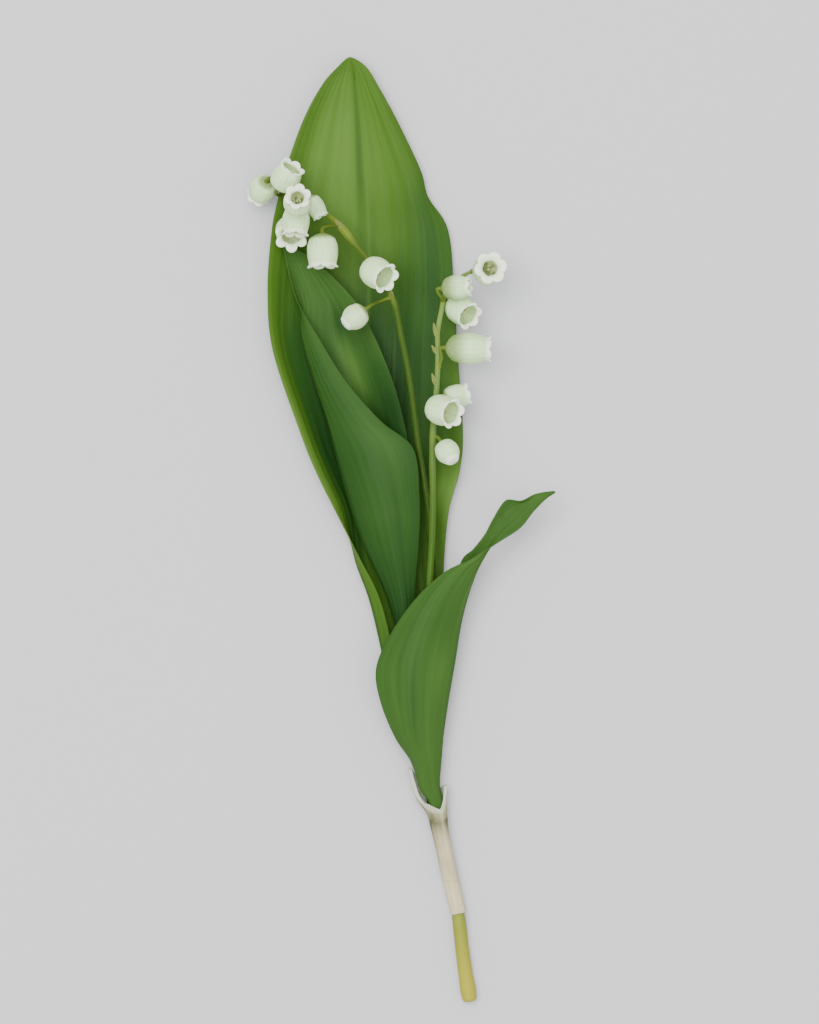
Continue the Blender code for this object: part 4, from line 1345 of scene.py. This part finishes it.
RIGHT_BELLS = (
    ((447.5, 452, 16.0), (0.45, -0.72, 0.5), 0.77, 1.0, 0.2, ((433, 437, 12.9), (437, 437, 13.4))),
    ((441.5, 410, 18.6), (0.66, -0.22, 0.72), 0.98, 1.0, 1, ((435, 403, 13.0), (430.5, 403, 14.0))),
    ((455.5, 397, 11.4), (0.88, 0.25, -0.1), 0.8, 0.95, 1, ((435.5, 399, 13.0), (440, 401, 12.2))),
    ((468.5, 348.5, 15.0), (1.0, -0.03, 0.02), 1.0, 1.36, 0.8, ((438.5, 367, 13.0), (441.5, 358, 14.2))),
    ((460.5, 309.5, 11.0), (0.55, -0.45, 0.7), 0.94, 1.0, 1, ((443, 303, 12.0), (445, 300, 8.0))),
    ((456, 287.5, 16.2), (0.95, 0.06, 0.2), 0.8, 1.08, 0.7, ((443, 301, 12.0), (441, 297, 14.2))),
    ((488, 270, 14.6), (0.12, 0.06, 0.98), 0.98, 1.0, 1, ((471, 271.5, 10.2), (480, 272, 9.2))),
)
BELL_FORMS = {
    "bell_left_3": BellForm(throat=0.88, curl=0.34 * MM),
    "bell_left_4": BellForm(throat=0.72, curl=0.85 * MM, inner=0.75, cut=0.7),
    "bell_left_5": BellForm(throat=0.86, curl=0.36 * MM),
    "bell_left_6": BellForm(throat=0.6, curl=0.95 * MM, inner=0.9, cut=0.4),
    "bell_left_7": BellForm(throat=0.9, curl=0.3 * MM),
    "bell_left_9": BellForm(crown=0.12),
    "bell_right_4": BellForm(throat=0.82, curl=0.42 * MM, crown=0.56),
    # painted shade: the crown's green runs far down this bell, which lies in shade behind the others
    "bell_right_6": BellForm(throat=0.84, crown=0.72),
    "bell_right_7": BellForm(throat=0.62, curl=1.25 * MM, inner=0.9, cut=0.3),
}
LEFT_NODES = ((0.8, 231, 14), (0.6, 205, 22), (0.45, 296, 8), (0.3, 262, 10))
RIGHT_NODES = (
    (0.4, 437, 6), (0.5, 402, 7), (0.5, 366, 6), (0.6, 335, 7), (0.5, 302, 7), (0.5, 280, 14),
)
LEFT_BRACTS = (
    ((343, 229, 10.6), (-0.6, 0.7, 0.4), 3.2, 0.8), ((392, 299, 12.6), (-0.1, 0.93, 0.3), 2.6, 0.6),
)
RIGHT_BRACTS = (
    ((437, 338, 13.4), (-0.22, 0.93, 0.3), 4.0, 0.62), ((437, 354, 13.3), (-0.5, 0.82, 0.3), 2.6, 0.55),
    ((436, 386, 13.3), (-0.3, 0.93, 0.25), 3.4, 0.6),
)


@dataclass
class Spray:
    """The whole spray: its sub-parts, each built, dressed and tied to the solid it stands for."""

    effects: Effects
    pieces: list = field(default_factory=list)
    bell_spin: float = 0.4

    def settle(self, piece: bpy.types.Object, material: bpy.types.Material, slot: str, *nodes: str) -> None:
        """Give a piece its material and its body, and hide the solids that it replaces."""
        piece.data.materials.append(material)
        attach(piece, BODY)
        if nodes:
            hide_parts(*nodes)
        self.pieces.append(piece)
        log.info("%s: %d corners, %d faces", piece.name, len(piece.data.vertices), len(piece.data.polygons))

    def leaves(self) -> None:
        """The three leaf blades."""
        back = LeafFinish("leaf_back_green")
        inner = LeafFinish("leaf_inner_green", shades=DEEP_SHADES, midrib_strength=0.0, vein_share=0.05,
                           drift=0.06)
        front = replace(inner, name="leaf_front_green", vein_share=0.06, drift=0.07)
        for leaf in (
            Leaf("leaf_back", BACK_LEAF_FOOT, BACK_LEAF, BACK_TONES_WITH_SHADE, BACK_PAINTED_LIGHT, back, rests=True, seed=1,
                 lengthwise=250, across=140, groove_depth=0.22 * MM, wave_depth=0.22 * MM),
            Leaf("leaf_inner", INNER_LEAF_FOOT, INNER_LEAF, INNER_TONES_WITH_SHADE, INNER_PAINTED_LIGHT, inner, seed=4),
            Leaf("leaf_front", FRONT_LEAF_FOOT, FRONT_LEAF, FRONT_TONES_WITH_SHADE, FRONT_PAINTED_LIGHT, front, seed=7,
                 foot_radii=(1.58, 2.05)),
        ):
            self.settle(leaf.build(), leaf.finish.build(self.effects), leaf.node, leaf.node)

    def flowers(self) -> None:
        """The two flowering stalks with their bracts and bells."""
        bract, petal, pistil, anther = (finish.build(self.effects) for finish in (
            PaperFinish("bract_paper", (0.5, 0.65), pale=(0.2, 0.24, 0.06), fibre=(0.1, 0.12, 0.02),
                        lining=(0.2, 0.24, 0.06)),
            BellFinish("bell_white", (0.42, 0.55), 0.03 * MM),
            StalkFinish("pistil_green", (0.4, 0.5), low=(0.45, 0.55, 0.2), high=(0.6, 0.66, 0.4),
                        tan=(0.5, 0.55, 0.25), turn=(1.5, 4.0)),
            StalkFinish("anther_straw", (0.5, 0.65), low=(0.45, 0.48, 0.22), high=(0.5, 0.5, 0.24),
                        tan=(0.5, 0.5, 0.24), turn=(1.0, 3.0)),
        ))
        # the left stalk takes the default greens with their painted shade
        left = StalkFinish("stalk_left_green", (0.42, 0.56))
        right = StalkFinish("stalk_right_green", (0.42, 0.56), low=(0.037, 0.088, 0.006),
                            high=(0.14, 0.22, 0.05), turn=(60.0, 125.0))
        for side, line, rows, bracts, nodes, finish in (
            (Side.LEFT, LEFT_STALK, LEFT_BELLS, LEFT_BRACTS, LEFT_NODES, left),
            (Side.RIGHT, RIGHT_STALK, RIGHT_BELLS, RIGHT_BRACTS, RIGHT_NODES, right),
        ):
            bells = []
            for number, row in enumerate(rows, 1):
                name = f"bell_{side.value}_{number}"
                form = BELL_FORMS.get(name, BellForm())
                bells.append(Bell(name, *row, form, self.bell_spin * number))
            node = f"flower_stalk_{side.value}"
            stalk = FlowerStalk(node, line, bells, bracts, nodes)
            self.settle(stalk.build(), finish.build(self.effects), "flower_stalk", node)
            self.settle(stalk.bract_piece(), bract, "flower_stalk")
            for bell in bells:
                self.settle(bell.petals(), petal, "bell", bell.node)
                self.settle(bell.pistil(), pistil, "bell")
                self.settle(bell.stamens(), anther, "bell")

    def base(self) -> None:
        """The sheath and the cut stem."""
        skin = PaperFinish("sheath_paper", (0.55, 0.75), 0.08 * MM)
        core = StalkFinish("stem_straw", low=(0.3, 0.27, 0.02), high=(0.18, 0.21, 0.02),
                           tan=(0.34, 0.34, 0.05), turn=(4.0, 22.0), ribs=Streaks(9.0, 0.08, 0.35))
        for part, finish in ((Sheath(), skin), (Stem(), core)):
            self.settle(part.build(), finish.build(self.effects), part.node, part.node)


@dataclass
class Studio:
    """A pale surface under soft light, with the camera straight above. A lamp is name, place, size, power."""

    floor_size: float = 3.0
    floor_tone: Colour = (0.5, 0.5, 0.51)
    floor_roughness: float = 0.95
    floor_shine: float = 0.1
    lamps: tuple = (("key", (-0.35, 0.3, 1.9), 1.3, 64), ("fill", (0.5, -0.35, 1.9), 1.6, 17))
    sky: Colour = (1.0, 1.0, 1.02)
    sky_strength: float = 1.0
    sensor_height: float = 36
    sight: Pair = (0.01, 20)

    def floor(self) -> None:
        """The matte pale surface that the spray lies on."""
        half = self.floor_size / 2
        mesh = bpy.data.meshes.new("floor")
        mesh.from_pydata([(-half, -half, 0), (half, -half, 0), (half, half, 0), (-half, half, 0)], [],
                         [(0, 1, 2, 3)])
        coat = Coat("floor_paper")
        coat.feed(coat.shader["Base Color"], self.floor_tone)
        coat.feed(coat.shader["Roughness"], self.floor_roughness)
        coat.feed(coat.shader["Specular IOR Level"], self.floor_shine)
        mesh.materials.append(coat.material)
        add_object("floor", mesh)

    def light(self, name: str, place: tuple, size: float, power: float) -> None:
        """A square area light aimed at the middle of the spray."""
        lamp = bpy.data.lights.new(name, "AREA")
        lamp.shape = "SQUARE"
        lamp.size = size
        lamp.energy = power
        made = add_object(name, lamp)
        made.location = place
        made.rotation_euler = (-Vector(place)).to_track_quat("-Z", "Y").to_euler()

    def camera(self) -> None:
        """The camera at the eye of the layout sheet, looking straight down with +Y up the picture."""
        lens = bpy.data.cameras.new("camera")
        lens.sensor_fit = "VERTICAL"
        lens.sensor_height = self.sensor_height
        lens.lens = self.sensor_height * SHEET.eye_height / (SHEET.long_side * SHEET.step)
        lens.clip_start, lens.clip_end = self.sight
        made = add_object("camera", lens)
        made.location = SHEET.eye()
        bpy.context.scene.camera = made

    def build(self) -> None:
        """The floor, the lights, the sky and the camera."""
        self.floor()
        for lamp in self.lamps:
            self.light(*lamp)
        world = bpy.data.worlds.new("studio")
        world.use_nodes = True
        sky = world.node_tree.nodes["Background"].inputs
        sky["Color"].default_value = (*self.sky, 1)
        sky["Strength"].default_value = self.sky_strength
        bpy.context.scene.world = world
        self.camera()


def main() -> None:
    logging.basicConfig(level=logging.INFO, format="%(name)s: %(message)s")
    spray = Spray(Effects())
    spray.leaves()
    spray.flowers()
    spray.base()
    Studio().build()
    log.info("%d pieces", len(spray.pieces))


if __name__ == "__main__":
    main()
